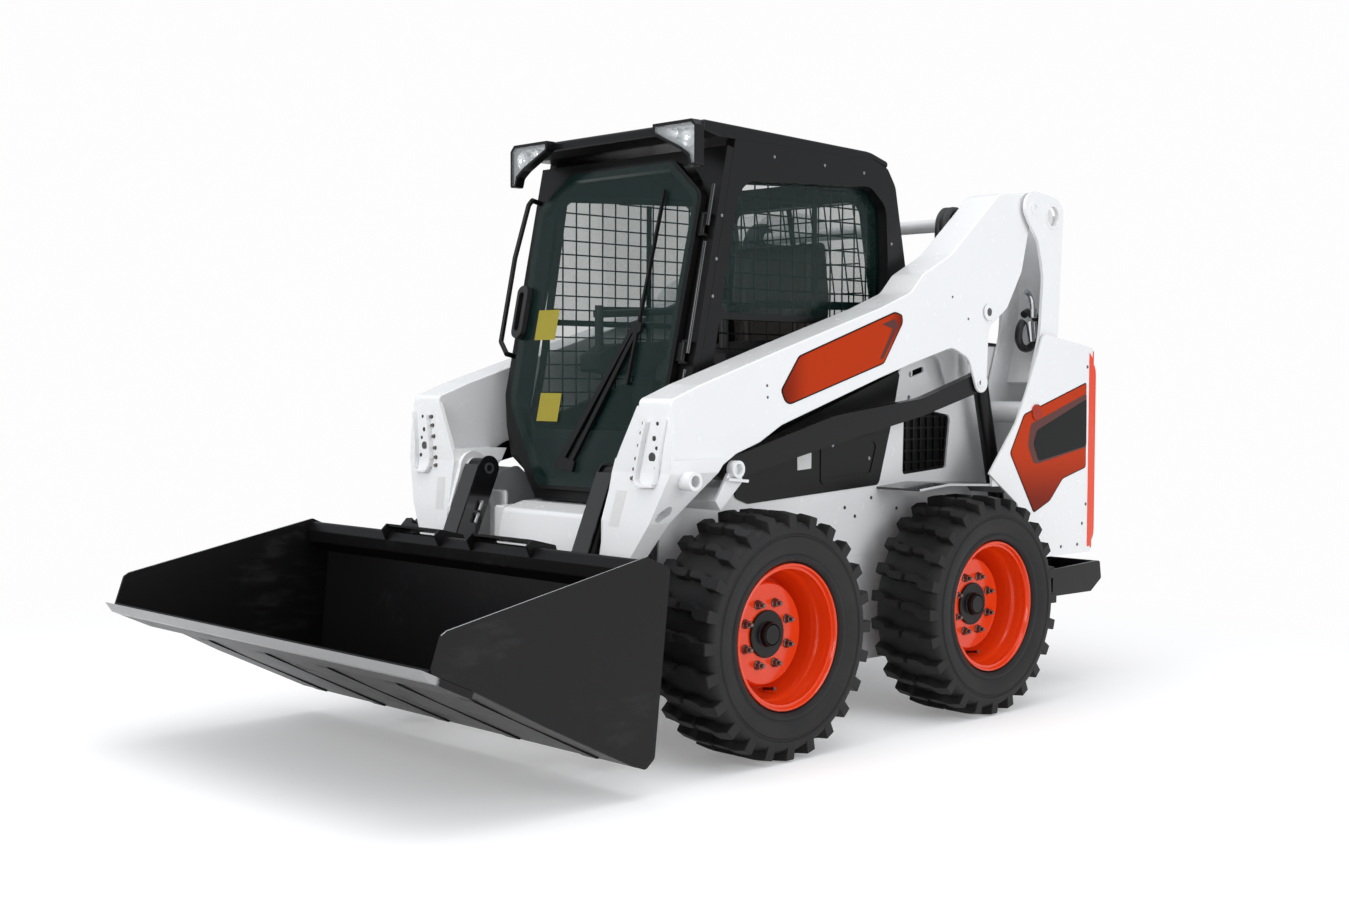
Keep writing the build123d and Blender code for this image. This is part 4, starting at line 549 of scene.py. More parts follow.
@dataclass(frozen=True)
class Glass:
    """Tinted pane, clearer face on than at a glancing angle, and paler teal at the cab's rear as painted
    light.
    """

    colour: Colour
    cover: float
    gloss: float = 0.35
    rear_y: float = 9.0
    rear_lit_colour: Colour = (0.012, 0.085, 0.070)
    rear_lit_cover: float = 0.15

    def material(self, graph: Graph) -> bpy.types.Material:
        """Build the material on its new graph."""
        glance = Socket(graph, graph.node("ShaderNodeFresnel", None, {"IOR": 1.5}).outputs[0])
        _, along, _ = graph.axes()
        # Painted light: from rear_y back the pane is paler teal and covers more.
        rear = graph.rise(along, self.rear_y - 0.01, self.rear_y)
        smears = graph.noise(5.0, 5.0, 0.6)
        cover = self.cover + (self.rear_lit_cover - self.cover) * rear + 0.03 * smears
        alpha = graph.maths("ADD", cover, self.gloss * glance, clamp=True)
        rough = 0.015 + 0.02 * smears
        colour = graph.blend(rear, self.colour, self.rear_lit_colour)
        varying = {"Base Color": colour, "Roughness": rough, "Alpha": alpha}
        return graph.finish(varying, {"Coat Weight": 0.5, "Coat Roughness": 0.01})


@dataclass(frozen=True)
class SeatCloth:
    """Dark coated seat cover with a leather-like grain."""

    colour: Colour = (0.030, 0.021, 0.017)

    def material(self, graph: Graph) -> bpy.types.Material:
        """Build the material on its new graph."""
        cells = graph.node("ShaderNodeTexVoronoi", None, {"Vector": graph.place, "Scale": 420.0})
        grain = Socket(graph, cells.outputs["Distance"])
        clouds = graph.noise(6.0, 5.0)
        deep = darker(self.colour, 0.6)
        colour = graph.blend(clouds, deep, self.colour)
        rough = 0.55 + 0.12 * (clouds - 0.5)
        normal = graph.bump(grain, 0.35, 0.0010)
        return graph.finish({"Base Color": colour, "Roughness": rough, "Normal": normal})


class Run(Enum):
    """The way along which a badge's colour changes."""

    LENGTHWAYS = 1
    UPWARDS = 2


@dataclass(frozen=True)
class Badge:
    """Printed film whose colour darkens towards its two ends."""

    colour: Colour
    deep: Colour
    low: float
    high: float
    run: Run = Run.LENGTHWAYS
    fade: float = 0.16

    def material(self, graph: Graph) -> bpy.types.Material:
        """Build the material on its new graph."""
        along = graph.axes()[self.run.value]
        ends = graph.maths(
            "MAXIMUM",
            graph.rise(along, self.low + self.fade, self.low),
            graph.rise(along, self.high - self.fade * 0.6, self.high),
        )
        colour = graph.blend(ends * 0.8, self.colour, self.deep)
        specks = graph.noise(60.0, 3.0)
        rough = 0.24 + 0.06 * (specks - 0.5)
        varying = {"Base Color": colour, "Roughness": rough}
        return graph.finish(varying, {"Specular IOR Level": 0.10})


class Look(Enum):
    """The finishes that pieces are dressed in, with the names of their materials."""

    ROOF = "cab_roof_black"
    PIN = "pin_enamel"
    WHITE = "white_enamel"
    DECK = "rear_panel_enamel"
    BLACK = "black_enamel"
    GLOSS_BLACK = "gloss_black"
    MESH = "screen_black"
    REAR_BADGE = "rear_orange_badge"
    BADGE_DARK = "badge_shade"
    CAB = "cab_black"
    TOOL = "bucket_black"
    EDGE = "cutting_steel"
    ORANGE = "orange_enamel"
    REAR_DOOR = "rear_door_enamel"
    RUBBER = "tyre_rubber"
    STEEL = "bare_steel"
    CHROME = "polished_rod"
    STUD = "stud_steel"
    IRON = "cast_iron"
    PLASTIC = "black_moulding"
    TRIM = "grey_moulding"
    GLASS = "cab_glass"
    LENS = "lamp_lens"
    SEAT = "seat_cover"
    LABEL = "white_label"
    YELLOW = "yellow_label"
    BADGE = "orange_badge"
    BADGE_RIM = "orange_badge_rim"
    HOSE = "hose_rubber"
    LAMP = "lamp_reflector"


class Palette:
    """Makes each finish once."""

    def __init__(self, bucket_edge: float) -> None:
        """Set up the finishes.

        Args:
            bucket_edge: The y of the bucket's cutting edge, in metres.
        """
        self.made: dict[Look, bpy.types.Material] = {}
        cab = {"rough": 0.32, "coat": 0.0, "peel": 0.02, "dust_amount": 0.04, "specular": 0.26}
        orange = {"dust_amount": 0.02, "specular": 0.35}
        self.recipes: dict[Look, Any] = {
            Look.WHITE: Paint(WHITE_COAT),
            # White, with a painted shadow on the top over the rear wheels.
            Look.DECK: DeckPaint(WHITE_COAT),
            Look.PIN: PinPaint(WHITE_COAT, coat=0.1, specular=0.2),
            Look.BLACK: Paint(BLACK_COAT, rough=0.30, coat=0.0, dust_amount=0.05, specular=0.26),
            Look.CAB: Paint(CAB_COAT, **cab),
            # Cab black, pale under the roof, where the pale is partly painted light.
            Look.ROOF: RoofPaint(CAB_COAT, **cab),
            Look.GLOSS_BLACK: Paint((0.006, 0.006, 0.0065), rough=0.14, coat=0.5, dust_amount=0.02),
            Look.TOOL: WornBlack(bucket_edge),
            Look.EDGE: WornBlack(bucket_edge + 0.03),
            Look.ORANGE: Paint(ORANGE_COAT, rough=0.18, coat=0.3, **orange),
            Look.REAR_DOOR: RearDoorPaint(ORANGE_COAT, rough=0.24, coat=0.2, **orange),
            Look.RUBBER: Rubber(),
            Look.STEEL: Metal((0.42, 0.42, 0.43), 0.34),
            Look.CHROME: Metal((0.72, 0.73, 0.75), 0.10, 0.05),
            Look.STUD: Metal((0.20, 0.17, 0.16), 0.30),
            Look.IRON: Plastic((0.055, 0.055, 0.058), 0.6, 0.4),
            Look.PLASTIC: Plastic((0.012, 0.012, 0.013)),
            Look.TRIM: Plastic((0.085, 0.087, 0.090)),
            # The rear pane's paler teal is painted light.
            Look.GLASS: Glass((0.004, 0.030, 0.025), 0.11, gloss=0.22, rear_y=0.64),
            Look.LENS: Glass((0.72, 0.75, 0.76), 0.05),
            Look.SEAT: SeatCloth(),
            Look.LABEL: Plastic((0.78, 0.78, 0.77), 0.4, 0.02),
            Look.YELLOW: Plastic((0.34, 0.28, 0.015), 0.4, 0.02),
            Look.BADGE: Badge((0.46, 0.034, 0.002), (0.10, 0.005, 0.001), -0.16, 0.47),
            Look.REAR_BADGE: Badge((0.48, 0.036, 0.002), (0.08, 0.004, 0.001), 0.68, 1.40, Run.UPWARDS, 0.24),
            Look.BADGE_RIM: Paint((0.012, 0.004, 0.003), rough=0.5, coat=0.0, specular=0.1),
            Look.BADGE_DARK: Plastic((0.085, 0.008, 0.003), 0.3, 0.02),
            Look.HOSE: Plastic((0.010, 0.010, 0.011), 0.45, 0.2),
            Look.LAMP: Metal((0.86, 0.87, 0.88), 0.12, 0.06),
            Look.MESH: Paint((0.004, 0.0045, 0.0045), rough=0.4, coat=0.0, specular=0.2),
        }

    def __getitem__(self, look: Look) -> bpy.types.Material:
        """The material of a look, made the first time it is asked for."""
        if look not in self.made:
            self.made[look] = self.recipes[look].material(Graph(look.value))
        return self.made[look]


# ---------------------------------------------------------------- meshes
@dataclass(frozen=True)
class Datum:
    """Where the machine's own measures start, read from the frame."""

    axle_y: float
    axle_z: float
    rear_axle_y: float
    wheel_low: float
    wheel_high: float

    @classmethod
    def from_frame(cls) -> "Datum":
        """Measure the wheels."""
        low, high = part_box("front_left_tyre")
        rear_low, rear_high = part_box("rear_left_tyre")
        middle = (low + high) / 2
        rear = (rear_low + rear_high) / 2
        width = high.x - low.x
        return cls(middle.y, round(middle.z, 3), rear.y, middle.x - width / 2, middle.x + width / 2)

    def at(self, across: float, behind: float, height: float) -> Vector:
        """A point from its distance behind the front axle and its height."""
        return Vector((across, self.axle_y + behind, height))


def linked(name: str, data: bpy.types.ID) -> bpy.types.Object:
    """A new object that shows some data, in the scene."""
    obj = bpy.data.objects.new(name, data)
    bpy.context.scene.collection.objects.link(obj)
    return obj


def attach(piece: bpy.types.Object, body: str) -> None:
    """Ride a piece on a body."""
    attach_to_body(piece, body)


def keep_result(obj: bpy.types.Object, modifier: bpy.types.Modifier) -> None:
    """Make what a modifier gives the object's plain mesh, and remove the modifier."""
    bpy.context.view_layer.update()
    evaluated = obj.evaluated_get(bpy.context.evaluated_depsgraph_get())
    mesh = bpy.data.meshes.new_from_object(evaluated)
    obj.modifiers.remove(modifier)
    obj.data = mesh


class Shape:
    """A mesh in the making."""

    def __init__(self) -> None:
        """Start empty."""
        self.bm = bmesh.new()

    def ring(self, points: Iterable[Sequence[float]]) -> Loop:
        """Add a loop of points, as yet without faces."""
        return [self.bm.verts.new(point) for point in points]

    def skin(self, one: Loop, two: Loop, shift: int = 0) -> None:
        """Join two loops of as many points by faces.

        Args:
            one: First loop.
            two: Second loop.
            shift: How far round the second loop the first loop's start is joined.
        """
        count = len(one)
        for i in range(count):
            j = (i + 1) % count
            self.bm.faces.new((one[i], one[j], two[(j + shift) % count], two[(i + shift) % count]))

    def prism(self, face: Sequence[Vector], along: Vector) -> "Shape":
        """Add a closed prism.

        Args:
            face: Corners of one end, in order.
            along: The way from that end to the other.

        Returns:
            This shape.
        """
        near = self.ring(face)
        far = self.ring(point + along for point in face)
        self.bm.faces.new(near)
        self.bm.faces.new(list(reversed(far)))
        for i in range(len(face)):
            j = (i + 1) % len(face)
            self.bm.faces.new((near[j], near[i], far[i], far[j]))
        return self

    def box(self, low: Sequence[float], high: Sequence[float]) -> "Shape":
        """Add a box between two corners."""
        x0, y0, z0 = low
        x1, y1, z1 = high
        face = [Vector((x0, y0, z0)), Vector((x0, y1, z0)), Vector((x0, y1, z1)), Vector((x0, y0, z1))]
        return self.prism(face, Vector((x1 - x0, 0, 0)))

    def turned(self, profile: Sequence[Point2], place: Matrix, steps: int = 32) -> "Shape":
        """Add a shape turned about a line, from a closed loop of (distance along, radius).

        Args:
            profile: The loop. Points of radius 0 close the ends.
            place: Puts the local Z axis on the line.
            steps: Facets round the line.

        Returns:
            This shape.
        """
        rings = []
        for distance, radius in profile:
            turns = [2 * math.pi * i / steps for i in range(steps if radius > TINY else 1)]
            circle = [Vector((radius * math.cos(turn), radius * math.sin(turn), distance)) for turn in turns]
            rings.append(self.ring(place @ spot for spot in circle))
        closed = profile[0][1] > TINY
        pairs = list(zip(rings, rings[1:] + rings[:1])) if closed else list(zip(rings, rings[1:]))
        for one, two in pairs:
            for i in range(steps):
                j = (i + 1) % steps
                corners = [one[i % len(one)], one[j % len(one)], two[j % len(two)], two[i % len(two)]]
                unique = list(dict.fromkeys(corners))
                if len(unique) > 2:
                    self.bm.faces.new(unique)
        return self

    def rod(self, start: Vector, end: Vector, radius: float, steps: int = 16) -> "Shape":
        """Add a solid rod with slightly broken edges.

        Args:
            start: Middle of one end.
            end: Middle of the other.
            radius: Its radius.
            steps: Facets round it.

        Returns:
            This shape.
        """
        length = (end - start).length
        lip = min(radius * 0.12, length * 0.2)
        profile = [(0, 0), (0, radius - lip), (lip, radius), (length - lip, radius), (length, radius - lip),
                   (length, 0)]
        return self.turned(profile, aimed(start, end - start), steps)

    def tube(self, route: Sequence[Vector], radius: float, steps: int = 10) -> "Shape":
        """Add a smooth tube through points.

        Args:
            route: Points on its line.
            radius: Its radius.
            steps: Facets round it.

        Returns:
            This shape.
        """
        line = smooth(route, 6)
        rings = []
        for i, point in enumerate(line):
            ahead = line[min(i + 1, len(line) - 1)] - line[max(i - 1, 0)]
            place = aimed(point, ahead)
            turns = [2 * math.pi * k / steps for k in range(steps)]
            circle = [Vector((radius * math.cos(turn), radius * math.sin(turn), 0)) for turn in turns]
            rings.append(self.ring(place @ spot for spot in circle))
        for one, two in zip(rings, rings[1:]):
            self.skin(one, two, nearest_shift(one, two))
        self.bm.faces.new(list(reversed(rings[0])))
        self.bm.faces.new(rings[-1])
        return self

    def mirrored(self) -> "Shape":
        """Add the mirror image on the machine's other side."""
        source = list(self.bm.verts)
        twins = {v: self.bm.verts.new((-v.co.x, v.co.y, v.co.z)) for v in source}
        for face in list(self.bm.faces):
            self.bm.faces.new([twins[v] for v in reversed(face.verts)])
        return self

    def piece(
        self, name: str, material: bpy.types.Material, bevel: float = 0.0, smooth_angle: float = 30.0
    ) -> bpy.types.Object:
        """Finish the mesh as an object at the origin.

        Args:
            name: The piece's name.
            material: Its finish.
            bevel: Width of its broken edges, or 0.
            smooth_angle: Edges sharper than this, in degrees, stay sharp.

        Returns:
            The object.
        """
        bmesh.ops.remove_doubles(self.bm, verts=self.bm.verts, dist=TINY)
        bmesh.ops.recalc_face_normals(self.bm, faces=self.bm.faces)
        if bevel:
            least = math.radians(30)
            sharp = [edge for edge in self.bm.edges if edge.is_manifold and edge.calc_face_angle(0) > least]
            bmesh.ops.bevel(self.bm, geom=sharp, offset=bevel, segments=2, affect="EDGES", clamp_overlap=True)
        mesh = bpy.data.meshes.new(name)
        self.bm.to_mesh(mesh)
        self.bm.free()
        mesh.materials.append(material)
        obj = linked(name, mesh)
        soften(obj, smooth_angle)
        return obj


def aimed(place: Vector, direction: Vector) -> Matrix:
    """Matrix that puts local Z along a direction at a place."""
    return Matrix.Translation(place) @ direction.to_track_quat("Z", "Y").to_matrix().to_4x4()


def nearest_shift(one: Loop, two: Loop) -> int:
    """How far round the second ring its vertex nearest to the first ring's start is."""
    return min(range(len(two)), key=lambda k: (two[k].co - one[0].co).length)


def smooth(route: Sequence[Vector], parts: int) -> list[Vector]:
    """Points on a smooth line through a route.

    Args:
        route: The points that it passes.
        parts: New points for each stretch.

    Returns:
        The line's points.
    """
    line = []
    last = len(route) - 1
    for i in range(last):
        before, start = route[max(i - 1, 0)], route[i]
        end, after = route[i + 1], route[min(i + 2, last)]
        for k in range(parts):
            t = k / parts
            square = (2 * before - 5 * start + 4 * end - after) * t**2
            cube = (3 * start - before - 3 * end + after) * t**3
            line.append(0.5 * (2 * start + (end - before) * t + square + cube))
    return line + [route[-1]]


def soften(obj: bpy.types.Object, angle: float) -> None:
    """Shade an object smooth, apart from edges sharper than an angle in degrees."""
    mesh = obj.data
    bm = bmesh.new()
    bm.from_mesh(mesh)
    for edge in bm.edges:
        edge.smooth = not edge.is_manifold or edge.calc_face_angle(0) < math.radians(angle)
    for face in bm.faces:
        face.smooth = True
    bm.to_mesh(mesh)
    bm.free()


# ---------------------------------------------------------------- geometry nodes
class SizeKind(Enum):
    """Socket types of a tree's inputs."""

    LENGTH = "NodeSocketFloat"
    COUNT = "NodeSocketInt"
    PLACE = "NodeSocketVector"
    MATERIAL = "NodeSocketMaterial"


class Pattern:
    """A geometry node tree made in code, with named inputs for its sizes."""

    def __init__(self, name: str) -> None:
        """Start a tree that takes and gives geometry.

        Args:
            name: The tree's name.
        """
        self.tree = bpy.data.node_groups.new(name, "GeometryNodeTree")
        self.tree.interface.new_socket("Geometry", in_out="INPUT", socket_type="NodeSocketGeometry")
        self.tree.interface.new_socket("Geometry", in_out="OUTPUT", socket_type="NodeSocketGeometry")
        self.start = self.tree.nodes.new("NodeGroupInput")
        self.end = self.tree.nodes.new("NodeGroupOutput")
        self.identifiers: dict[str, str] = {}
        self.build()

    def build(self) -> None:
        """Add the tree's own nodes."""
        raise NotImplementedError

    def size(self, name: str, kind: SizeKind) -> bpy.types.NodeSocket:
        """Add a named input.

        Args:
            name: What it sets.
            kind: Its socket type.

        Returns:
            The socket inside the tree.
        """
        item = self.tree.interface.new_socket(name, in_out="INPUT", socket_type=kind.value)
        self.identifiers[name] = item.identifier
        return self.start.outputs[name]

    def node(self, kind: str, settings: Settings = None, inputs: Inputs = None) -> bpy.types.Node:
        """Add a node to the tree."""
        return add_node(self.tree, kind, settings, inputs)

    def maths(self, operation: str, first: Any, second: Any) -> bpy.types.NodeSocket:
        """Combine two numbers and give the result's output."""
        return self.node("ShaderNodeMath", {"operation": operation}, {0: first, 1: second}).outputs[0]

    def copies(
        self, points: bpy.types.NodeSocket, shape: bpy.types.NodeSocket, rotation: bpy.types.NodeSocket
    ) -> None:
        """End the tree with a copy of a shape at each point.

        Args:
            points: The points.
            shape: What is copied.
            rotation: How each copy is turned.
        """
        inputs = {"Points": points, "Instance": shape, "Rotation": rotation}
        self.close(self.node("GeometryNodeInstanceOnPoints", None, inputs).outputs[0])

    def close(self, geometry: bpy.types.NodeSocket) -> None:
        """End the tree with real geometry that carries its material.

        Args:
            geometry: What the tree has made.
        """
        real = self.node("GeometryNodeRealizeInstances", None, {"Geometry": geometry})
        finish = {"Geometry": real.outputs[0], "Material": self.size("Material", SizeKind.MATERIAL)}
        coat = self.node("GeometryNodeSetMaterial", None, finish)
        self.tree.links.new(coat.outputs[0], self.end.inputs[0])

    def apply(self, obj: bpy.types.Object, sizes: dict[str, Any], angle: float = 30.0) -> bpy.types.Object:
        """Run the tree on an object and keep the result as its plain mesh.

        Args:
            obj: The object that holds the source geometry.
            sizes: Values of the named inputs.
            angle: Edges sharper than this, in degrees, stay sharp.

        Returns:
            The same object.
        """
        modifier = obj.modifiers.new(self.tree.name, "NODES")
        modifier.node_group = self.tree
        for name, value in sizes.items():
            modifier[self.identifiers[name]] = value
        keep_result(obj, modifier)
        soften(obj, angle)
        return obj


class RingPattern(Pattern):
    """Copies of a shape round a line along X."""

    def build(self) -> None:
        """Place a copy at each equal turn about the centre."""
        count = self.size("Count", SizeKind.COUNT)
        centre = self.size("Centre", SizeKind.PLACE)
        start = self.size("Start", SizeKind.LENGTH)
        points = self.node("GeometryNodePoints", None, {"Count": count, "Position": centre})
        index = self.node("GeometryNodeInputIndex")
        step = self.maths("DIVIDE", 2 * math.pi, count)
        turn = self.maths("MULTIPLY", index.outputs[0], step)
        spin = self.node("ShaderNodeCombineXYZ", None, {0: self.maths("ADD", turn, start)})
        self.copies(points.outputs[0], self.start.outputs["Geometry"], spin.outputs[0])


class BoltPattern(Pattern):
    """A hexagon head on a washer at each point, along the point's facing."""

    def build(self) -> None:
        """Build one head and place it at every point."""
        radius = self.size("Radius", SizeKind.LENGTH)
        height = self.size("Height", SizeKind.LENGTH)
        washer = self.size("Washer", SizeKind.LENGTH)
        lift = self.maths("MULTIPLY", height, 0.5)
        middle = self.node("ShaderNodeCombineXYZ", None, {2: lift})
        head = self.node("GeometryNodeMeshCylinder", None, {"Vertices": 6, "Radius": radius, "Depth": height})
        lifted = {"Geometry": head.outputs[0], "Translation": middle.outputs[0]}
        raised = self.node("GeometryNodeTransform", None, lifted)
        flat = {"Vertices": 14, "Radius": washer, "Depth": self.maths("MULTIPLY", height, 0.35)}
        plate = self.node("GeometryNodeMeshCylinder", None, flat)
        joined = self.node("GeometryNodeJoinGeometry")
        self.tree.links.new(raised.outputs[0], joined.inputs[0])
        self.tree.links.new(plate.outputs[0], joined.inputs[0])
        facing = self.node(
            "GeometryNodeInputNamedAttribute", {"data_type": "FLOAT_VECTOR"}, {"Name": "facing"}
        )
        turn = self.node("FunctionNodeAlignRotationToVector", {"axis": "Z"}, {"Vector": facing.outputs[0]})
        self.copies(self.start.outputs["Geometry"], joined.outputs[0], turn.outputs[0])


class BarPattern(Pattern):
    """A round bar along each edge."""

    def build(self) -> None:
        """Sweep a circle along every edge."""
        radius = self.size("Radius", SizeKind.LENGTH)
        lines = self.node("GeometryNodeMeshToCurve", None, {"Mesh": self.start.outputs["Geometry"]})
        circle = self.node("GeometryNodeCurvePrimitiveCircle", None, {"Resolution": 6, "Radius": radius})
        sweep = {"Curve": lines.outputs[0], "Profile Curve": circle.outputs[0], "Fill Caps": True}
        self.close(self.node("GeometryNodeCurveToMesh", None, sweep).outputs[0])


def edge_object(name: str, edges: Sequence[Edge]) -> bpy.types.Object:
    """An object of loose edges."""
    points = [point for edge in edges for point in edge]
    mesh = bpy.data.meshes.new(name)
    mesh.from_pydata(points, [(2 * i, 2 * i + 1) for i in range(len(edges))], [])
    return linked(name, mesh)


def point_object(name: str, sites: Sequence[Site]) -> bpy.types.Object:
    """An object of loose points that carry the way they face.

    Args:
        name: Its name.
        sites: Place and facing of each point.

    Returns:
        The object.
    """
    mesh = bpy.data.meshes.new(name)
    mesh.from_pydata([place for place, _ in sites], [], [])
    facing = mesh.attributes.new("facing", "FLOAT_VECTOR", "POINT")
    for item, (_, way) in zip(facing.data, sites):
        item.vector = way
    return linked(name, mesh)


def clipped(corners: Sequence[Point2], along_first: bool, level: float) -> list[Point2]:
    """Stretches of a straight line that lie inside an outline.

    Args:
        corners: The outline.
        along_first: Whether the line runs along the first axis.
        level: Its place on the other axis.

    Returns:
        Start and end of each stretch.
    """
    run, fixed = (0, 1) if along_first else (1, 0)
    cuts = []
    for one, two in zip(corners, list(corners[1:]) + [corners[0]]):
        if (one[fixed] - level) * (two[fixed] - level) < 0:
            share = (level - one[fixed]) / (two[fixed] - one[fixed])
            cuts.append(one[run] + share * (two[run] - one[run]))
    cuts.sort()
    return list(zip(cuts[0::2], cuts[1::2]))


# ---------------------------------------------------------------- what adds pieces
@dataclass(frozen=True)
class Head:
    """A bolt head on its washer."""

    radius: float
    height: float
    washer: float


@dataclass
class Trim:
    """Adds pieces round the CAD, from the finishes and the machine's measures."""

    palette: Palette
    datum: Datum

    def build(self) -> None:
        """Make and seat the pieces."""
        raise NotImplementedError

    def add(self, shape: Shape, name: str, look: Look, body: str, slot: str, bevel: float = 0.0) -> None:
        """Make a shape a piece of its own.

        Args:
            shape: The shape.
            name: The piece's name.
            look: Its finish.
            body: The CAD body that it rides on.
            slot: Not used.
            bevel: Width of its broken edges, or 0.
        """
        attach(shape.piece(name, self.palette[look], bevel), body)

    def bolt(self, name: str, sites: Sequence[Site], head: Head, look: Look, body: str) -> None:
        """Add bolt heads as one piece.

        Args:
            name: The piece's name.
            sites: Place and facing of each.
            head: Size of each.
            look: Their finish.
            body: The CAD body that they ride on.
        """
        sizes = {"Radius": head.radius, "Height": head.height, "Washer": head.washer,
                 "Material": self.palette[look]}
        heads = BoltPattern(f"{name}_pattern").apply(point_object(name, sites), sizes)
        attach(heads, body)


# ---------------------------------------------------------------- wheels
@dataclass(frozen=True)
class Wheel:
    """Where one wheel is. Its side is 1 on the machine's left and -1 on its right."""

    name: str
    side: int
    axle: float

    @property
    def body(self) -> str:
        """The CAD body that the wheel's pieces ride on."""
        return f"{self.name}_wheel"

    @property
    def out(self) -> Vector:
        """The way out from the machine."""
        return Vector((self.side, 0, 0))


@dataclass
class Wheels(Trim):
    """Tyres with their tread, rims, hubs, studs with nuts, and valves of the four wheels."""

    lugs: int = 24
    base: float = 0.357
    crown: float = 0.3847
    draft: float = 0.0042
    lug_bevel: float = 0.0018
    stud_circle: float = 0.1016
    studs: int = 8
    disc_x: float = 0.725
    steps: int = 96
    hub_steps: int = 48
    valve_foot: Point3 = (0.688, 0.030, -0.180)
    valve_run: Point2 = (0.050, 0.006)
    valve_stem: float = 0.0045
    valve_cap: float = 0.0062

    @property
    def half(self) -> float:
        """Half a tyre's width."""
        return (self.datum.wheel_high - self.datum.wheel_low) / 2

    def wheels(self) -> list[Wheel]:
        """All four wheels."""
        axles = (("front", self.datum.axle_y), ("rear", self.datum.rear_axle_y))
        sides = (("left", 1), ("right", -1))
        return [Wheel(f"{end}_{hand}", side, axle) for end, axle in axles for hand, side in sides]

    def carcass(self) -> list[Point2]:
        """Closed section of the tyre below its lugs, as (from the middle, radius)."""
        half = self.half
        outer = [
            (half - 0.0275, 0.2095), (half - 0.0275, 0.2288), (half - 0.016, 0.2325),
            (half - 0.008, 0.2375), (half - 0.0035, 0.2450), (half - 0.0045, 0.2520),
            (half - 0.0085, 0.2565), (half - 0.0060, 0.2640), (half - 0.0020, 0.2800),
            (half - 0.0005, 0.2960), (half - 0.0005, 0.3080), (half - 0.0045, 0.3120),
            (half - 0.0050, 0.3170), (half - 0.0015, 0.3210), (half - 0.0015, 0.3340),
            (half - 0.0060, 0.3440), (half - 0.0220, 0.3540), (0.060, self.base), (0.0, self.base + 0.001),
        ]
        inner = [(-u, r) for u, r in reversed(outer[:-1])]
        return outer + inner

    def lug(self, hand: int) -> Shape:
        """One stepped lug of a side, round the wheel's own middle.

        Args:
            hand: 1 for the outboard row, -1 for the inboard row.

        Returns:
            The lug's shape.
        """
        half = self.half
        edge = half - 0.0012
        # corners as (from the middle, along the tread), shoulder first
        plan = [
            (edge, -0.019), (0.088, -0.019), (0.068, -0.010), (0.060, 0.004), (0.006, 0.012),
            (0.002, 0.026), (0.006, 0.040), (0.040, 0.040), (0.066, 0.034), (0.084, 0.021),
            (edge, 0.021),
        ]
        middle = Vector((sum(p[0] for p in plan) / len(plan), sum(p[1] for p in plan) / len(plan)))
        shape = Shape()
        rings = []
        for level in (0, 1):
            points = []
            for across, along in plan:
                inward = (middle - Vector((across, along))).normalized() * self.draft
                if level:
                    across, along = across + inward.x, along + inward.y
                else:
                    across, along = min(edge, across - inward.x * 0.6), along - inward.y * 0.6
                shoulder = max(0.0, (abs(across) - 0.080) / (half - 0.080))
                foot = 0.3300 if across > half - 0.016 else self.base - 0.004
                radius = self.crown - 0.0075 * shoulder**2 if level else foot
                turn = along / self.crown
                points.append((hand * across, radius * math.sin(turn) * hand, radius * math.cos(turn)))
            rings.append(shape.ring(points))
        foot_ring, crown_ring = rings
        shape.bm.faces.new(crown_ring)
        shape.bm.faces.new(list(reversed(foot_ring)))
        shape.skin(foot_ring, crown_ring)
        return shape

    def rim(self) -> list[Point2]:
        """Closed section of the rim and its disc, as (x of the machine's left side, radius)."""
        disc = self.disc_x
        return [
            (0.8115, 0.2094), (0.8118, 0.2275), (0.8180, 0.2282), (0.8225, 0.2268), (0.8238, 0.2235),
            (0.8225, 0.2200), (0.8180, 0.2178), (0.8080, 0.2150), (0.7990, 0.2105), (0.7900, 0.2078),
            (0.7740, 0.2064), (0.7660, 0.2046), (0.7600, 0.2008), (0.7530, 0.1978), (0.7300, 0.1952),
            (0.7050, 0.1915), (0.6850, 0.1870), (0.6730, 0.1815), (0.6700, 0.1760), (0.6725, 0.1710),
            (0.6820, 0.1682), (0.7000, 0.1662), (0.7130, 0.1645), (0.7205, 0.1612), (disc, 0.1560),
            (disc, 0.0700), (disc - 0.010, 0.0700), (disc - 0.010, 0.1520), (0.6600, 0.1600),
            (0.6560, 0.1800), (0.6440, 0.1960), (0.6080, 0.2050), (0.5950, 0.2150), (0.5892, 0.2250),
            (0.5905, 0.2278), (0.5998, 0.2278), (0.6010, 0.2094),
        ]

    def hub(self) -> list[Point2]:
        """Closed section of the hub plate and its boss."""
        disc = self.disc_x
        return [
            (disc - 0.030, 0.0340), (disc - 0.030, 0.0880), (disc - 0.0102, 0.0880),
            (disc - 0.0102, 0.0695), (disc + 0.0010, 0.0695), (disc + 0.0010, 0.0745),
            (disc + 0.0070, 0.0745), (disc + 0.0090, 0.0725), (disc + 0.0095, 0.0410),
            (disc + 0.0120, 0.0385), (disc + 0.0270, 0.0372), (disc + 0.0295, 0.0352),
            (disc + 0.0295, 0.0340),
        ]

    def nut(self) -> Shape:
        """A washer, a nut and the stud's end, standing on the disc at the top of the circle."""
        shape = Shape()
        place = aimed(Vector((0.0, 0.0, self.stud_circle)), LEFT)
        shape.turned([(0, 0), (0, 0.0150), (0.003, 0.0150), (0.006, 0.0125), (0.006, 0)], place, 16)
        shape.turned([(0.005, 0), (0.005, 0.0122), (0.018, 0.0122), (0.0195, 0.0105), (0.0195, 0)], place, 6)
        shape.turned([(0.019, 0), (0.019, 0.0066), (0.030, 0.0066), (0.0315, 0.0052), (0.0315, 0)], place, 12)
        return shape

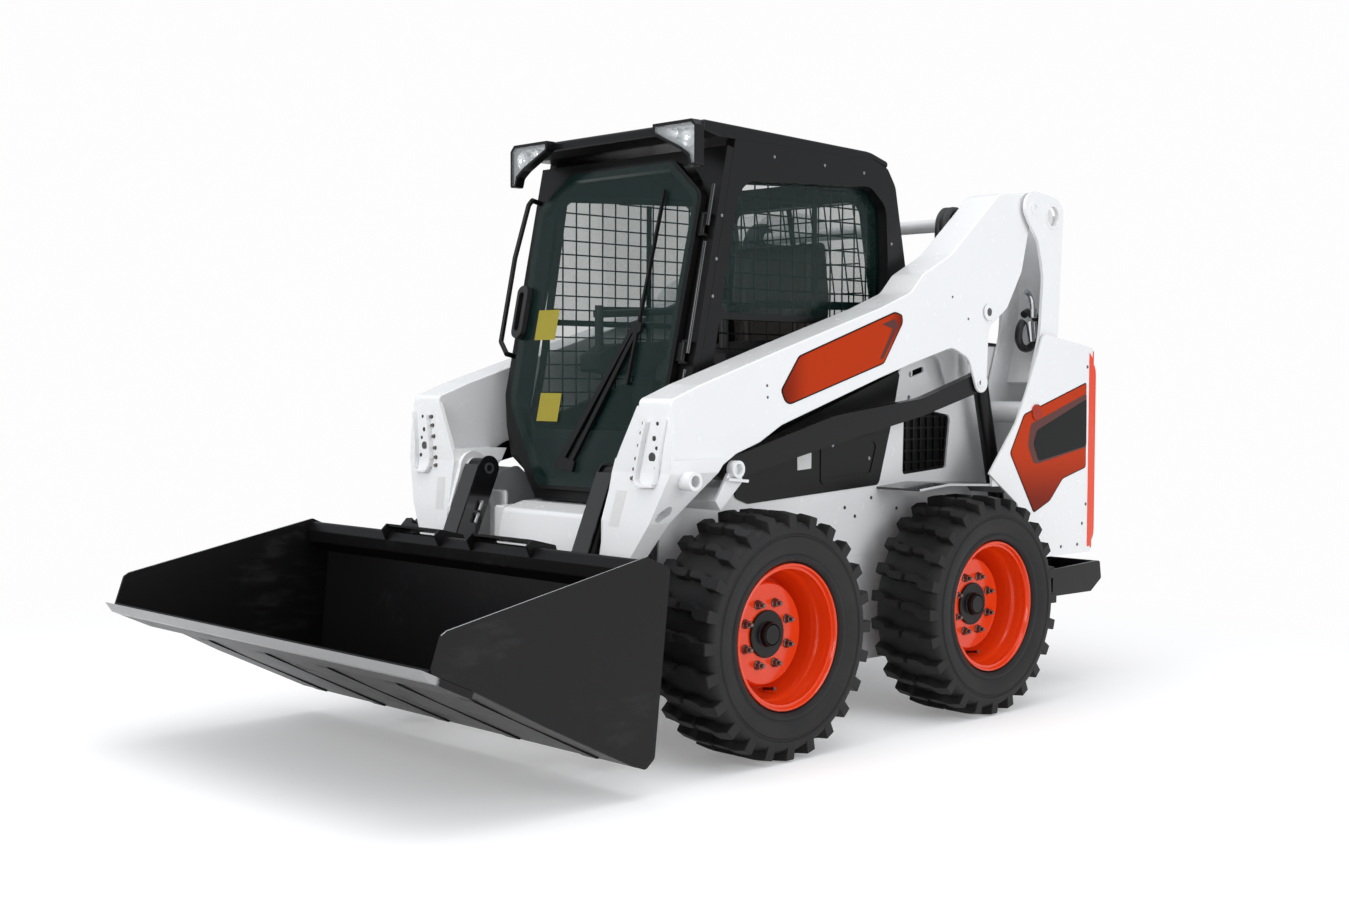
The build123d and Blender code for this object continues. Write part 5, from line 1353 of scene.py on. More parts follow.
    def build(self) -> None:
        """Make and seat the pieces of every wheel."""
        rings = RingPattern("ring_of_copies")
        for wheel in self.wheels():
            self.casing(wheel)
            self.rim_and_hub(wheel)
            self.tread(wheel, rings)
            self.nuts(wheel, rings)
            self.valve(wheel)
            LOG.info("wheel %s dressed", wheel.name)

    def centre(self, wheel: Wheel) -> Vector:
        """Middle of a wheel's tyre."""
        across = wheel.side * (self.datum.wheel_low + self.datum.wheel_high) / 2
        return Vector((across, wheel.axle, self.datum.axle_z))

    def casing(self, wheel: Wheel) -> None:
        """Add the tyre below its lugs."""
        tyre = Shape().turned(self.carcass(), aimed(self.centre(wheel), wheel.out), self.steps)
        casing = tyre.piece(f"{wheel.name}_casing", self.palette[Look.RUBBER], smooth_angle=38)
        attach(casing, wheel.body)
        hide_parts(f"{wheel.name}_tyre")

    def rim_and_hub(self, wheel: Wheel) -> None:
        """Add the orange rim with its disc, and the black hub."""
        place = aimed(Vector((0.0, wheel.axle, self.datum.axle_z)), wheel.out)
        rim = Shape().turned(self.rim(), place, self.steps)
        barrel = rim.piece(f"{wheel.name}_barrel", self.palette[Look.ORANGE], smooth_angle=34)
        attach(barrel, wheel.body)
        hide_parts(f"{wheel.name}_rim")
        hub = Shape().turned(self.hub(), place, self.hub_steps)
        plate = hub.piece(f"{wheel.name}_hub", self.palette[Look.BLACK], smooth_angle=34)
        attach(plate, wheel.body)

    def tread(self, wheel: Wheel, rings: RingPattern) -> None:
        """Add both rows of lugs, the inboard one half a lug further round.

        Args:
            wheel: The wheel.
            rings: The tree that copies a shape round an axle.
        """
        rubber = self.palette[Look.RUBBER]
        rows = ((wheel.side, "outboard", 0.0), (-wheel.side, "inboard", math.pi / self.lugs))
        for hand, row, start in rows:
            source = self.lug(hand).piece(f"{wheel.name}_tread_{row}", rubber, bevel=self.lug_bevel)
            sizes = {"Count": self.lugs, "Centre": self.centre(wheel), "Start": start, "Material": rubber}
            rings.apply(source, sizes, 40)
            attach(source, wheel.body)

    def nuts(self, wheel: Wheel, rings: RingPattern) -> None:
        """Add the ring of wheel nuts.

        Args:
            wheel: The wheel.
            rings: The tree that copies a shape round an axle.
        """
        steel = self.palette[Look.STUD]
        studs = self.nut().piece(f"{wheel.name}_studs", steel)
        if wheel.side < 0:
            studs.data.transform(Matrix.Scale(-1, 4, LEFT))
            studs.data.flip_normals()
        disc = Vector((wheel.side * self.disc_x, wheel.axle, self.datum.axle_z))
        sizes = {"Count": self.studs, "Centre": disc, "Start": math.pi / self.studs, "Material": steel}
        rings.apply(studs, sizes)
        attach(studs, wheel.body)

    def valve(self, wheel: Wheel) -> None:
        """Add the tyre valve between the disc and the barrel."""
        across, behind, up = self.valve_foot
        foot = Vector((wheel.side * across, wheel.axle + behind, self.datum.axle_z + up))
        out = Vector((wheel.side * self.valve_run[0], 0.0, self.valve_run[1]))
        shape = Shape().rod(foot, foot + out * 0.75, self.valve_stem, 10)
        shape.rod(foot + out * 0.7, foot + out, self.valve_cap, 10)
        self.add(shape, f"{wheel.name}_valve", Look.STUD, wheel.body, "bare_steel")


# ---------------------------------------------------------------- badges, labels and small fittings
@dataclass(frozen=True)
class Plate:
    """One flat layer on a side face of the machine."""

    name: str
    corners: tuple[Point2, ...]
    start: float
    thick: float
    look: Look
    slot: str
    body: str = "chassis"
    inset: float = 0.0
    corner: float = 0.012


@dataclass
class Badges(Trim):
    """Bare badges on the arms and the rear frame, and blank labels, on both sides."""

    film: float = 0.0010
    arm_x: float = 0.654
    panel_x: float = 0.696
    cover_x: float = 0.4903

    def plates(self) -> list[Plate]:
        """Every layer, lowest first where they lie on each other."""
        film, arm, panel = self.film, self.arm_x, self.panel_x
        arm_badge = (
            (0.138, 1.140), (0.223, 1.251), (0.712, 1.408), (0.752, 1.398), (0.755, 1.370), (0.655, 1.230),
            (0.183, 1.094), (0.158, 1.103),
        )
        right_end = ((0.640, 1.362), (0.706, 1.383), (0.728, 1.362), (0.652, 1.250), (0.630, 1.243),
                     (0.700, 1.350))
        rear = (
            (1.838, 1.171), (1.422, 1.052), (1.335, 0.910), (1.492, 0.683), (1.599, 0.724), (1.683, 0.804),
            (1.841, 0.842),
        )
        shade = ((1.838, 1.128), (1.465, 1.015), (1.447, 0.938), (1.485, 0.868), (1.522, 0.868),
                 (1.840, 0.921))
        dark = ((1.838, 1.106), (1.506, 0.992), (1.482, 0.941), (1.518, 0.876), (1.840, 0.926))
        band = ((1.857, 0.535), (1.883, 0.535), (1.883, 1.262), (1.857, 1.285))
        label = ((0.402, 0.926), (0.473, 0.930), (0.473, 0.874), (0.403, 0.870))
        return [
            Plate("arm_badge_rim", arm_badge, arm, film, Look.BADGE_RIM, "orange_paint", "arms"),
            Plate("arm_badge", arm_badge, arm + film, film, Look.BADGE, "orange_paint", "arms", 0.005),
            Plate("arm_badge_shade", right_end, arm + 2 * film, film * 0.5, Look.BADGE_DARK, "orange_paint",
                  "arms", 0.0, 0.004),
            Plate("rear_badge_rim", rear, panel, film, Look.BADGE_RIM, "orange_paint"),
            Plate("rear_badge", rear, panel + film, film, Look.REAR_BADGE, "orange_paint", inset=0.004),
            Plate("rear_badge_shade", shade, panel + 2 * film, film * 0.5, Look.BADGE_DARK, "orange_paint"),
            Plate("rear_badge_field", dark, panel + 2.5 * film, film * 0.5, Look.MESH, "black_paint"),
            Plate("rear_edge_band", band, panel, 0.0012, Look.ORANGE, "orange_paint", corner=0.004),
            Plate("side_cover_label", label, self.cover_x, film, Look.LABEL, "white_paint", corner=0.003),
        ]

    def build(self) -> None:
        """Make and seat every layer on both sides."""
        for plate in self.plates():
            corners = shrunk(plate.corners, plate.inset) if plate.inset else list(plate.corners)
            edge = softened(corners, plate.corner)
            face = [self.datum.at(plate.start, behind, height) for behind, height in edge]
            shape = Shape().prism(face, Vector((plate.thick, 0, 0))).mirrored()
            self.add(shape, plate.name, plate.look, plate.body, plate.slot)
        LOG.info("%d badge layers placed", len(self.plates()))


def softened(corners: Sequence[Point2], radius: float, parts: int = 4) -> list[Point2]:
    """An outline whose corners are rounded.

    Args:
        corners: The outline.
        radius: How far from each corner its curve starts, at most.
        parts: Points on each curve.

    Returns:
        The rounded outline.
    """
    result = []
    for i, corner in enumerate(corners):
        here = Vector(corner)
        before, after = Vector(corners[i - 1]) - here, Vector(corners[(i + 1) % len(corners)]) - here
        start = here + before.normalized() * min(radius, before.length * 0.4)
        end = here + after.normalized() * min(radius, after.length * 0.4)
        for k in range(parts + 1):
            t = k / parts
            point = start * (1 - t) ** 2 + here * 2 * t * (1 - t) + end * t**2
            result.append((point.x, point.y))
    return result


def shrunk(corners: Sequence[Point2], inset: float) -> list[Point2]:
    """An outline moved inwards by an inset along each corner's bisector."""
    count = len(corners)
    area = sum(corners[i][0] * corners[(i + 1) % count][1] - corners[(i + 1) % count][0] * corners[i][1]
               for i in range(count))
    hand = 1 if area > 0 else -1
    result = []
    for i, corner in enumerate(corners):
        here = Vector(corner)
        before = (here - Vector(corners[i - 1])).normalized()
        after = (Vector(corners[(i + 1) % count]) - here).normalized()
        normals = [Vector((-way.y, way.x)) * hand for way in (before, after)]
        middle = (normals[0] + normals[1]).normalized()
        place = here + middle * (inset / max(0.35, middle.dot(normals[0])))
        result.append((place.x, place.y))
    return result


class Surface:
    """Finds points on a CAD node's skin."""

    def __init__(self, node: bpy.types.Object) -> None:
        """Index the node's faces.

        Args:
            node: The CAD node's object.
        """
        mesh = node.data
        corners = [vertex.co.copy() for vertex in mesh.vertices]
        self.tree = BVHTree.FromPolygons(corners, [list(face.vertices) for face in mesh.polygons])

    def hit(self, start: Vector, way: Vector) -> Optional[Site]:
        """First point and facing that a ray meets, or None."""
        place, facing, _, _ = self.tree.ray_cast(start, way.normalized())
        if place is None:
            return None
        return place, facing if facing.dot(way) < 0 else -facing

    def side_hit(self, behind: float, height: float) -> Optional[Site]:
        """First point and facing seen from the machine's left at a y and a height, or None."""
        return self.hit(Vector((OUTSIDE, behind, height)), RIGHT)


def both(sites: Iterable[Site]) -> list[Site]:
    """Sites and their mirror images."""
    sites = list(sites)
    flip = Vector((-1, 1, 1))
    return sites + [(place * flip, facing * flip) for place, facing in sites]


@dataclass
class Screens(Trim):
    """Wire screens inside the side windows and the rear window."""

    half: float = 0.4154
    pitch_across: float = 0.064
    pitch_up: float = 0.050
    wire: float = 0.0030
    divider: float = 0.565
    rear_half: float = 0.308
    rear_foot: float = 1.386
    rear_head: float = 1.812
    rear_bend: float = 1.485
    rear_behind: float = 0.960
    rear_lean: float = 0.067
    rear_rise: float = 0.341
    uprights: int = 14
    first_upright: float = 0.010
    rows: int = 16
    first_row: float = 1.075
    bar_half: float = 0.011
    bar_thick: float = 0.0056
    rear_bar_thick: float = 0.006
    divider_runs: tuple[Point2, Point2] = ((1.392, 1.830), (1.195, 1.380))

    @property
    def levels(self) -> Point3:
        """Heights of the rear screen's foot, bend and head."""
        return self.rear_foot, self.rear_bend, self.rear_head

    def opening(self) -> list[Point2]:
        """Inner outline of a side screen's frame."""
        return [
            (0.158, 1.812), (0.800, 1.845), (0.885, 1.783), (0.896, 1.588), (0.882, 1.295), (0.120, 1.048),
            (0.022, 1.048), (0.060, 1.230),
        ]

    def rear_y(self, height: float) -> float:
        """How far behind the front axle the rear screen is at a height."""
        slope = self.rear_lean / self.rear_rise
        return self.rear_behind - max(0.0, height - self.rear_bend) * slope

    def side_wires(self) -> list[Edge]:
        """Uprights and rows of both side screens."""
        edges = []
        for across in (self.half, -self.half):
            for i in range(self.uprights):
                behind = self.pitch_across * (i + 1) + self.first_upright
                for low, high in clipped(self.opening(), False, behind):
                    edges.append((self.datum.at(across, behind, low), self.datum.at(across, behind, high)))
            for i in range(self.rows):
                height = self.first_row + self.pitch_up * i
                for start, end in clipped(self.opening(), True, height):
                    edges.append((self.datum.at(across, start, height), self.datum.at(across, end, height)))
        return edges

    def rear_wires(self) -> list[Edge]:
        """Uprights and rows of the rear screen, which leans above its bend."""
        edges = []
        count = int(self.rear_half * 2 / self.pitch_across)
        for i in range(count + 1):
            across = -self.rear_half + i * 2 * self.rear_half / count
            points = [self.datum.at(across, self.rear_y(z), z) for z in self.levels]
            edges += list(zip(points, points[1:]))
        rows = int((self.rear_head - self.rear_foot) / self.pitch_up)
        for i in range(rows + 1):
            z = self.rear_foot + i * (self.rear_head - self.rear_foot) / rows
            start, end = [self.datum.at(x, self.rear_y(z), z) for x in (-self.rear_half, self.rear_half)]
            edges.append((start, end))
        return edges

    def build(self) -> None:
        """Make the wires and the flat bars."""
        edges = self.side_wires() + self.rear_wires()
        sizes = {"Radius": self.wire, "Material": self.palette[Look.MESH]}
        wires = BarPattern("screen_wires").apply(edge_object("cab_screen_wires", edges), sizes, 50)
        attach(wires, "chassis")
        bars = Shape()
        thick, wide = self.bar_thick / 2, self.bar_half
        for z0, z1 in self.divider_runs:
            low = self.datum.at(self.half - thick, self.divider - wide, z0)
            bars.box(low, self.datum.at(self.half + thick, self.divider + wide, z1))
        bars.mirrored()
        for z0, z1 in zip(self.levels, self.levels[1:]):
            corners = ((-wide, z0), (wide, z0), (wide, z1), (-wide, z1))
            face = [self.datum.at(x, self.rear_y(z), z) for x, z in corners]
            bars.prism(face, FORWARD * self.rear_bar_thick)
        self.add(bars, "cab_screen_dividers", Look.MESH, "chassis", "black_paint")
        LOG.info("screens made of %d wires", len(edges))


@dataclass
class CabTrim(Trim):
    """Lamp reflectors, screws, the hinge post's tubes and blank labels on the door's glass."""

    side_x: float = 0.465
    lean_start: float = 0.060
    lean: float = 0.2105
    lean_top: float = 1.885
    glass_out: float = 0.0228
    label_thick: float = 0.0006
    tube_x: float = 0.4525
    tube: float = 0.0065
    lamp_back: float = -0.0345
    lamp_thick: float = 0.0015

    def front(self, height: float, out: float = 0.0) -> float:
        """How far behind the front axle the cab's leaning front face is at a height."""
        return self.lean_start - self.lean * (self.lean_top - height) - out

    def build(self) -> None:
        """Make every piece."""
        screws = [(0.307, 1.910), (0.560, 1.905), (0.769, 1.898), (0.918, 1.475), (0.036, 1.560),
                  (0.020, 1.440), (0.060, 1.700), (0.925, 1.660)]
        sites = both((self.datum.at(self.side_x, y, z), LEFT) for y, z in screws)
        self.bolt("cab_side_screws", sites, Head(0.0042, 0.0020, 0.0055), Look.STEEL, "chassis")
        tubes = Shape()
        for run in ((1.10, 1.205), (1.255, 1.615), (1.665, 1.80)):
            start, end = [self.datum.at(self.tube_x, self.front(z, self.tube), z) for z in run]
            tubes.rod(start, end, self.tube, 14)
        self.add(tubes, "hinge_post_tubes", Look.GLOSS_BLACK, "chassis", "black_paint")
        labels = (("upper", (-0.305, -0.195), (1.308, 1.412)), ("lower", (-0.222, -0.112), (1.029, 1.125)))
        for name, (x0, x1), (z0, z1) in labels:
            corners = ((x0, z0), (x1, z0), (x1, z1), (x0, z1))
            face = [self.datum.at(x, self.front(z, self.glass_out), z) for x, z in corners]
            label = Shape().prism(face, FORWARD * self.label_thick)
            self.add(label, f"{name}_door_label", Look.YELLOW, "cab_door", "white_paint")
        self.lamps()
        LOG.info("cab trimmed")

    def lamps(self) -> None:
        """Put a bright reflector with two bowls behind each lamp's lens."""
        outline = [(0.279, 1.984), (0.279, 1.972), (0.398, 1.910), (0.436, 1.884), (0.449, 1.862),
                   (0.456, 1.862), (0.456, 1.970), (0.442, 1.984)]
        back = self.datum.at(0, self.lamp_back, 0).y
        shape = Shape().prism([Vector((x, back, z)) for x, z in outline], REARWARD * self.lamp_thick)
        for x, z, radius in ((0.418, 1.944, 0.030), (0.352, 1.962, 0.018), (0.440, 1.893, 0.010)):
            place = aimed(Vector((x, back, z)), FORWARD)
            bowl = [(0.0, 0.0), (0.002, radius * 0.45), (0.007, radius * 0.80), (0.0125, radius),
                    (0.0140, radius), (0.0135, radius * 1.06), (0.0, radius * 1.06)]
            bulb = [(0.001, 0.0), (0.001, radius * 0.2), (0.009, radius * 0.2), (0.011, radius * 0.1),
                    (0.0115, 0.0)]
            shape.turned(bowl, place, 28).turned(bulb, place, 14)
        self.add(shape.mirrored(), "lamp_reflectors", Look.LAMP, "chassis", "chrome")


@dataclass
class ArmTrim(Trim):
    """Guard brackets, blank stickers and bolts on the lift arms."""

    skin: Surface
    lip: float = 0.020
    plate_behind: float = -0.350
    sunk: float = 0.002

    def front(self, across: float, height: float) -> Vector:
        """Point on the arm's front plate."""
        found = self.skin.hit(Vector((across, -OUTSIDE, height)), REARWARD)
        return found[0] if found else self.datum.at(across, self.plate_behind, height)

    def strip(self, shape: Shape, line: Sequence[Point2], wide: float, out: float) -> None:
        """Add a bar that stands on the front plate along a line.

        Args:
            shape: What it is added to.
            line: (x, height) of the line's points.
            wide: The bar's width.
            out: How far it stands out.
        """
        for (x0, z0), (x1, z1) in zip(line, line[1:]):
            way = Vector((x1 - x0, z1 - z0)).normalized() * wide / 2
            corners = [(x0 - way.y, z0 + way.x), (x0 + way.y, z0 - way.x), (x1 + way.y, z1 - way.x),
                       (x1 - way.y, z1 + way.x)]
            face = [self.front(x, z) + REARWARD * self.sunk for x, z in corners]
            shape.prism(face, FORWARD * (out + self.sunk))

    def build(self) -> None:
        """Make the trim of both arms."""
        left = [(0.562, 1.046), (0.546, 0.985), (0.527, 0.890), (0.529, 0.866), (0.545, 0.851),
                (0.606, 0.853)]
        right = [(0.640, 1.056), (0.622, 0.955), (0.610, 0.858)]
        shape = Shape()
        self.strip(shape, left, 0.010, self.lip)
        self.strip(shape, right, 0.008, self.lip * 0.8)
        self.add(shape.mirrored(), "arm_guard_brackets", Look.WHITE, "arms", "white_paint", 0.0012)
        # Painted shade: shallow gloss-black discs stand in for the shade inside the guard's openings.
        hole_shades = Shape()
        for x, z, radius in ((0.582, 0.938, 0.015), (0.600, 0.966, 0.006), (0.600, 0.905, 0.007),
                             (0.588, 0.995, 0.008), (0.600, 1.040, 0.006)):
            place = aimed(self.front(x, z) + REARWARD * 0.001, FORWARD)
            dish = [(0, 0), (0, radius), (0.0018, radius), (0.0018, radius * 0.7), (0.0012, 0)]
            hole_shades.turned(dish, place, 20)
        self.add(hole_shades.mirrored(), "arm_guard_hole_shades", Look.GLOSS_BLACK, "arms", "black_paint")
        heads = [(0.545, 1.040), (0.536, 1.010), (0.527, 0.972), (0.517, 0.932), (0.510, 0.900),
                 (0.504, 0.872)]
        sites = both((self.front(x, z), FORWARD) for x, z in heads)
        self.bolt("arm_guard_bolts", sites, Head(0.0062, 0.008, 0.0075), Look.STUD, "arms")
        corners = ((0.424, 0.724), (0.470, 0.724), (0.486, 0.834), (0.440, 0.834))
        sticker = Shape().prism([self.front(x, z) for x, z in corners], FORWARD * 0.0008)
        self.add(sticker.mirrored(), "arm_labels", Look.LABEL, "arms", "white_paint")
        self.rings()
        small = [(0.075, 1.155), (0.078, 1.118), (1.130, 1.395), (1.035, 1.470)]
        hits = [self.skin.side_hit(self.datum.axle_y + y, z) for y, z in small]
        sites = both(hit for hit in hits if hit)
        self.bolt("arm_side_screws", sites, Head(0.0036, 0.0016, 0.0046), Look.STUD, "arms")
        LOG.info("arms trimmed")

    def rings(self) -> None:
        """Raised rings with dark middles where the pins end on the arms' sides."""
        white, dark = Shape(), Shape()
        for y, z, outer, inner in ((1.248, 1.423, 0.030, 0.015), (1.204, 1.167, 0.017, 0.008)):
            found = self.skin.side_hit(self.datum.axle_y + y, z)
            if not found:
                continue
            place = aimed(found[0] + RIGHT * 0.0005, LEFT)
            white.turned([(0, inner), (0, outer), (0.0035, outer), (0.0045, outer - 0.001),
                          (0.0045, inner + 0.001), (0.0035, inner)], place, 32)
            dark.turned([(0, 0), (0, inner - 0.0003), (0.0020, inner - 0.0003), (0.0020, 0)], place, 24)
        for shape, name, look, slot in ((white, "arm_pin_rings", Look.WHITE, "white_paint"),
                                        (dark, "arm_pin_ends", Look.TRIM, "bare_steel")):
            self.add(shape.mirrored(), name, look, "arms", slot)


@dataclass
class FrameTrim(Trim):
    """Rear door rim, front panel wings, link pin caps, black sheets behind the side grilles as painted shade,
    and screws of the panels.
    """

    nodes: dict[str, bpy.types.Object]
    rim_half: float = 0.677
    rim_start: float = 1.8895
    rim_end: float = 1.9420
    rim_foot: float = 0.522
    rim_top: float = 1.272
    rim_width: float = 0.046
    rim_lip: float = 0.006
    cap_x: Point2 = (0.6560, 0.6672)
    cap_behind: float = 1.598
    cap_height: float = 1.787
    cap_radius: float = 0.040
    side_wall_x: float = 0.45
    facing_out: float = 0.9
    wing_edge: tuple[Point3, Point3] = ((0.2355, -0.560, 0.300), (0.2970, -0.430, 0.742))
    wing_plate: tuple[Point3, Point3] = ((0.2970, -0.505, 0.330), (0.3920, -0.493, 0.790))
    grille: tuple[Point3, Point3] = ((0.4655, 0.958, 0.822), (0.4680, 1.262, 1.082))

    def build(self) -> None:
        """Make every piece."""
        self.rear_rim()
        self.screws()
        wings = Shape().box(*self.wing_edge).box(*self.wing_plate).mirrored()
        self.add(wings, "front_panel_wings", Look.WHITE, "chassis", "white_paint", 0.006)
        start, end = [self.datum.at(x, self.cap_behind, self.cap_height) for x in self.cap_x]
        caps = Shape().rod(start, end, self.cap_radius, 32).mirrored()
        self.add(caps, "link_pin_caps", Look.LABEL, "rear_link_pair", "white_paint")
        # Painted shade: a black sheet behind each side grille stands in for the shade behind it.
        low, high = [self.datum.at(*corner) for corner in self.grille]
        shade_backs = Shape().box(low, high).mirrored()
        self.add(shade_backs, "grille_shade_backs", Look.MESH, "chassis", "black_paint")
        LOG.info("frame trimmed")

    def rear_rim(self) -> None:
        """Raised orange rim round the rear door, as a rounded frame."""
        half, foot, top = self.rim_half, self.rim_foot, self.rim_top
        outer = softened([(-half, foot), (half, foot), (half, top), (-half, top)], 0.075, 8)
        half, foot, top = half - self.rim_width, foot + self.rim_width, top - self.rim_width
        inner = softened([(-half, foot), (half, foot), (half, top), (-half, top)], 0.045, 8)
        start, end = self.datum.at(0, self.rim_start, 0).y, self.datum.at(0, self.rim_end, 0).y
        edge = end - self.rim_lip
        outline = ((outer, start), (outer, edge), (shrunk(outer, self.rim_lip), end),
                   (shrunk(inner, -self.rim_lip), end), (inner, edge), (inner, start))
        shape = Shape()
        loops = [shape.ring((x, y, z) for x, z in loop) for loop, y in outline]
        for one, two in zip(loops, loops[1:] + loops[:1]):
            shape.skin(one, two)
        self.add(shape, "rear_door_rim", Look.ORANGE, "tailgate", "orange_paint")

    def screws(self) -> None:
        """Small screws in the side wall, the rear panels and the side covers."""
        spots = {
            "side_wall_screws": ([(0.657, 0.732), (0.712, 0.699), (0.943, 0.716), (0.574, 0.666),
                                  (0.800, 0.760)], Look.STUD, ("side_frames", "frame_tub")),
            "rear_panel_screws": ([(1.678, 0.545), (1.790, 0.547), (1.821, 0.626), (1.845, 1.230),
                                   (1.845, 0.700)], Look.STUD, ("rear_panels",)),
            "side_cover_screws": ([(0.581, 0.950), (0.676, 0.975), (0.250, 0.960), (0.780, 0.900)],
                                  Look.STEEL, ("side_covers",)),
        }
        for name, (places, look, nodes) in spots.items():
            sites = []
            for node in nodes:
                skin = Surface(self.nodes[node])
                for y, z in places:
                    found = skin.side_hit(self.datum.axle_y + y, z)
                    if found and found[0].x > self.side_wall_x and found[1].x > self.facing_out:
                        sites.append(found)
            if sites:
                self.bolt(name, both(sites), Head(0.0048, 0.0022, 0.0064), look, "chassis")


@dataclass
class Hydraulics(Trim):
    """Guards and fittings of the tilt cylinders, and the hoses of the links and the cross tube."""

    pivot: Point2 = (-0.285, 0.868)
    eye: Point2 = (-0.501, 0.355)
    guard_radius: float = 0.043
    guard_length: float = 0.300
    guard_x: Point2 = (0.3020, 0.3065)
    flange: float = 0.004
    flange_wide: float = 0.076
    hose: float = 0.0145
    fitting: float = 0.0105
    tube_hose: float = 0.0150
    hose_x: float = 0.596
    tube_middle: Point2 = (1.258, 1.750)

    def build(self) -> None:
        """Make every piece."""
        self.guards()
        self.rear_hoses()
        self.cross_tube_guard()
        LOG.info("hydraulics made")

    def guards(self) -> None:
        """Channel over each tilt cylinder, with a washer and two fittings."""
        top, foot = Vector(self.pivot), Vector(self.eye)
        way = (foot - top).normalized()
        out = Vector((way.y, -way.x))
        if out.x > 0:
            out = -out
        half, length = self.guard_radius, self.guard_length
        turns = [math.pi * i / 12 for i in range(13)]
        outline = [top + out * half * math.cos(turn) - way * half * math.sin(turn) for turn in turns]
        outline += [top - out * half + way * length * 0.75, top + out * half + way * length]
        x0, x1 = self.guard_x
        shape = Shape().prism([self.datum.at(x0, *spot) for spot in outline], LEFT * (x1 - x0))
        flange = self.flange
        front = [top + out * half + way * flange, top + out * (half + flange) + way * flange,
                 top + out * (half + flange) + way * length, top + out * half + way * length]
        shape.prism([self.datum.at(x0, *spot) for spot in front], LEFT * self.flange_wide)
        shape.mirrored()
        self.add(shape, "tilt_guards", Look.GLOSS_BLACK, "tilt_barrel_pair", "black_paint", 0.0010)
        steel = Shape()
        washer = [(0, 0.012), (0, 0.019), (0.003, 0.019), (0.003, 0.012)]
        steel.turned(washer, aimed(self.datum.at(x0, top.x, top.y), RIGHT), 24)
        for reach in (0.120, 0.165):
            spot = top + way * reach - out * 0.008
            ahead = spot + way * 0.030
            steel.rod(self.datum.at(x0, *spot), self.datum.at(x0 - 0.014, *spot), 0.0075, 6)
            steel.rod(self.datum.at(x0 - 0.010, *spot), self.datum.at(x0 - 0.010, *ahead), 0.0060, 10)
        self.add(steel.mirrored(), "tilt_fittings", Look.STEEL, "tilt_barrel_pair", "bare_steel")

    def rear_hoses(self) -> None:
        """Hose loop with silver fittings inside each rear link."""
        loop = [(1.560, 1.425), (1.592, 1.436), (1.628, 1.425), (1.648, 1.385), (1.638, 1.338),
                (1.602, 1.302), (1.556, 1.300), (1.528, 1.330), (1.532, 1.372), (1.552, 1.398)]
        hose = Shape().tube([self.datum.at(self.hose_x, y, z) for y, z in loop], self.hose, 12).mirrored()
        self.add(hose, "rear_hoses", Look.HOSE, "rear_link_pair", "plastic")
        fittings = Shape()
        line = [(1.540, 1.512), (1.562, 1.500), (1.578, 1.476), (1.584, 1.444)]
        fittings.tube([self.datum.at(self.hose_x + 0.022, y, z) for y, z in line], self.fitting, 12)
        rods = ((0.022, (1.584, 1.448), (1.586, 1.412), 0.0165),
                (0.026, (1.556, 1.400), (1.574, 1.325), 0.0135),
                (0.026, (1.588, 1.400), (1.600, 1.335), 0.0110))
        for shift, start, end, radius in rods:
            x = self.hose_x + shift
            fittings.rod(self.datum.at(x, *start), self.datum.at(x, *end), radius, 14)
        self.add(fittings.mirrored(), "rear_fittings", Look.CHROME, "rear_link_pair", "bare_steel")

    def cross_tube_guard(self) -> None:
        """Black clamps with two hoses on the cross tube beside each arm."""
        shape = Shape()
        for x0, x1 in ((0.446, 0.478), (0.490, 0.516)):
            ring = [(0.0, 0.0252), (0.0, 0.0440), (0.004, 0.0480), (x1 - x0 - 0.004, 0.0480),
                    (x1 - x0, 0.0440), (x1 - x0, 0.0252)]
            shape.turned(ring, aimed(self.datum.at(x0, *self.tube_middle), LEFT), 28)
        self.add(shape.mirrored(), "cross_tube_clamps", Look.BLACK, "arms", "black_paint")
        hose = Shape()
        for shift in (0.0, 0.026):
            route = [(0.464 + shift, 1.275, 1.800), (0.466 + shift, 1.232, 1.796),
                     (0.470 + shift, 1.200, 1.765), (0.474 + shift, 1.188, 1.720),
                     (0.480 + shift * 0.6, 1.182, 1.672)]
            hose.tube([self.datum.at(*point) for point in route], self.tube_hose, 10)
        self.add(hose.mirrored(), "cross_tube_hoses", Look.HOSE, "arms", "plastic")


@dataclass
class BucketTrim(Trim):
    """Bright worn edges and bolt heads of the bucket."""

    half: float = 0.8635
    wear: float = 0.0016

    def build(self) -> None:
        """Make the worn edges and the bolts."""
        edge = [(-1.336, 0.531), (-1.319, 0.541), (-0.634, 0.680)]
        lines = []
        for side in (1, -1):
            points = [self.datum.at(side * (self.half - 0.0020), y, z - 0.0006) for y, z in edge]
            lines += list(zip(points, points[1:]))
        sizes = {"Radius": self.wear, "Material": self.palette[Look.STEEL]}
        bars = BarPattern("worn_edge").apply(edge_object("bucket_worn_edges", lines), sizes, 60)
        attach(bars, "bucket_group")
        heads = [(-1.270, 0.495), (-1.235, 0.478), (-1.150, 0.452), (-1.300, 0.462), (-1.245, 0.415),
                 (-0.985, 0.585), (-0.820, 0.618), (-0.700, 0.640), (-0.640, 0.610)]
        sites = both((self.datum.at(self.half - 0.0022, y, z), LEFT) for y, z in heads)
        self.bolt("bucket_side_bolts", sites, Head(0.0042, 0.0014, 0.0050), Look.STUD, "bucket_group")
        LOG.info("bucket trimmed")


@dataclass(frozen=True)
class Pad:
    """One seat pad: its outline from the side, its half width and how much it swells."""

    name: str
    node: str
    outline: tuple[Point2, ...]
    half: float
    swell: float


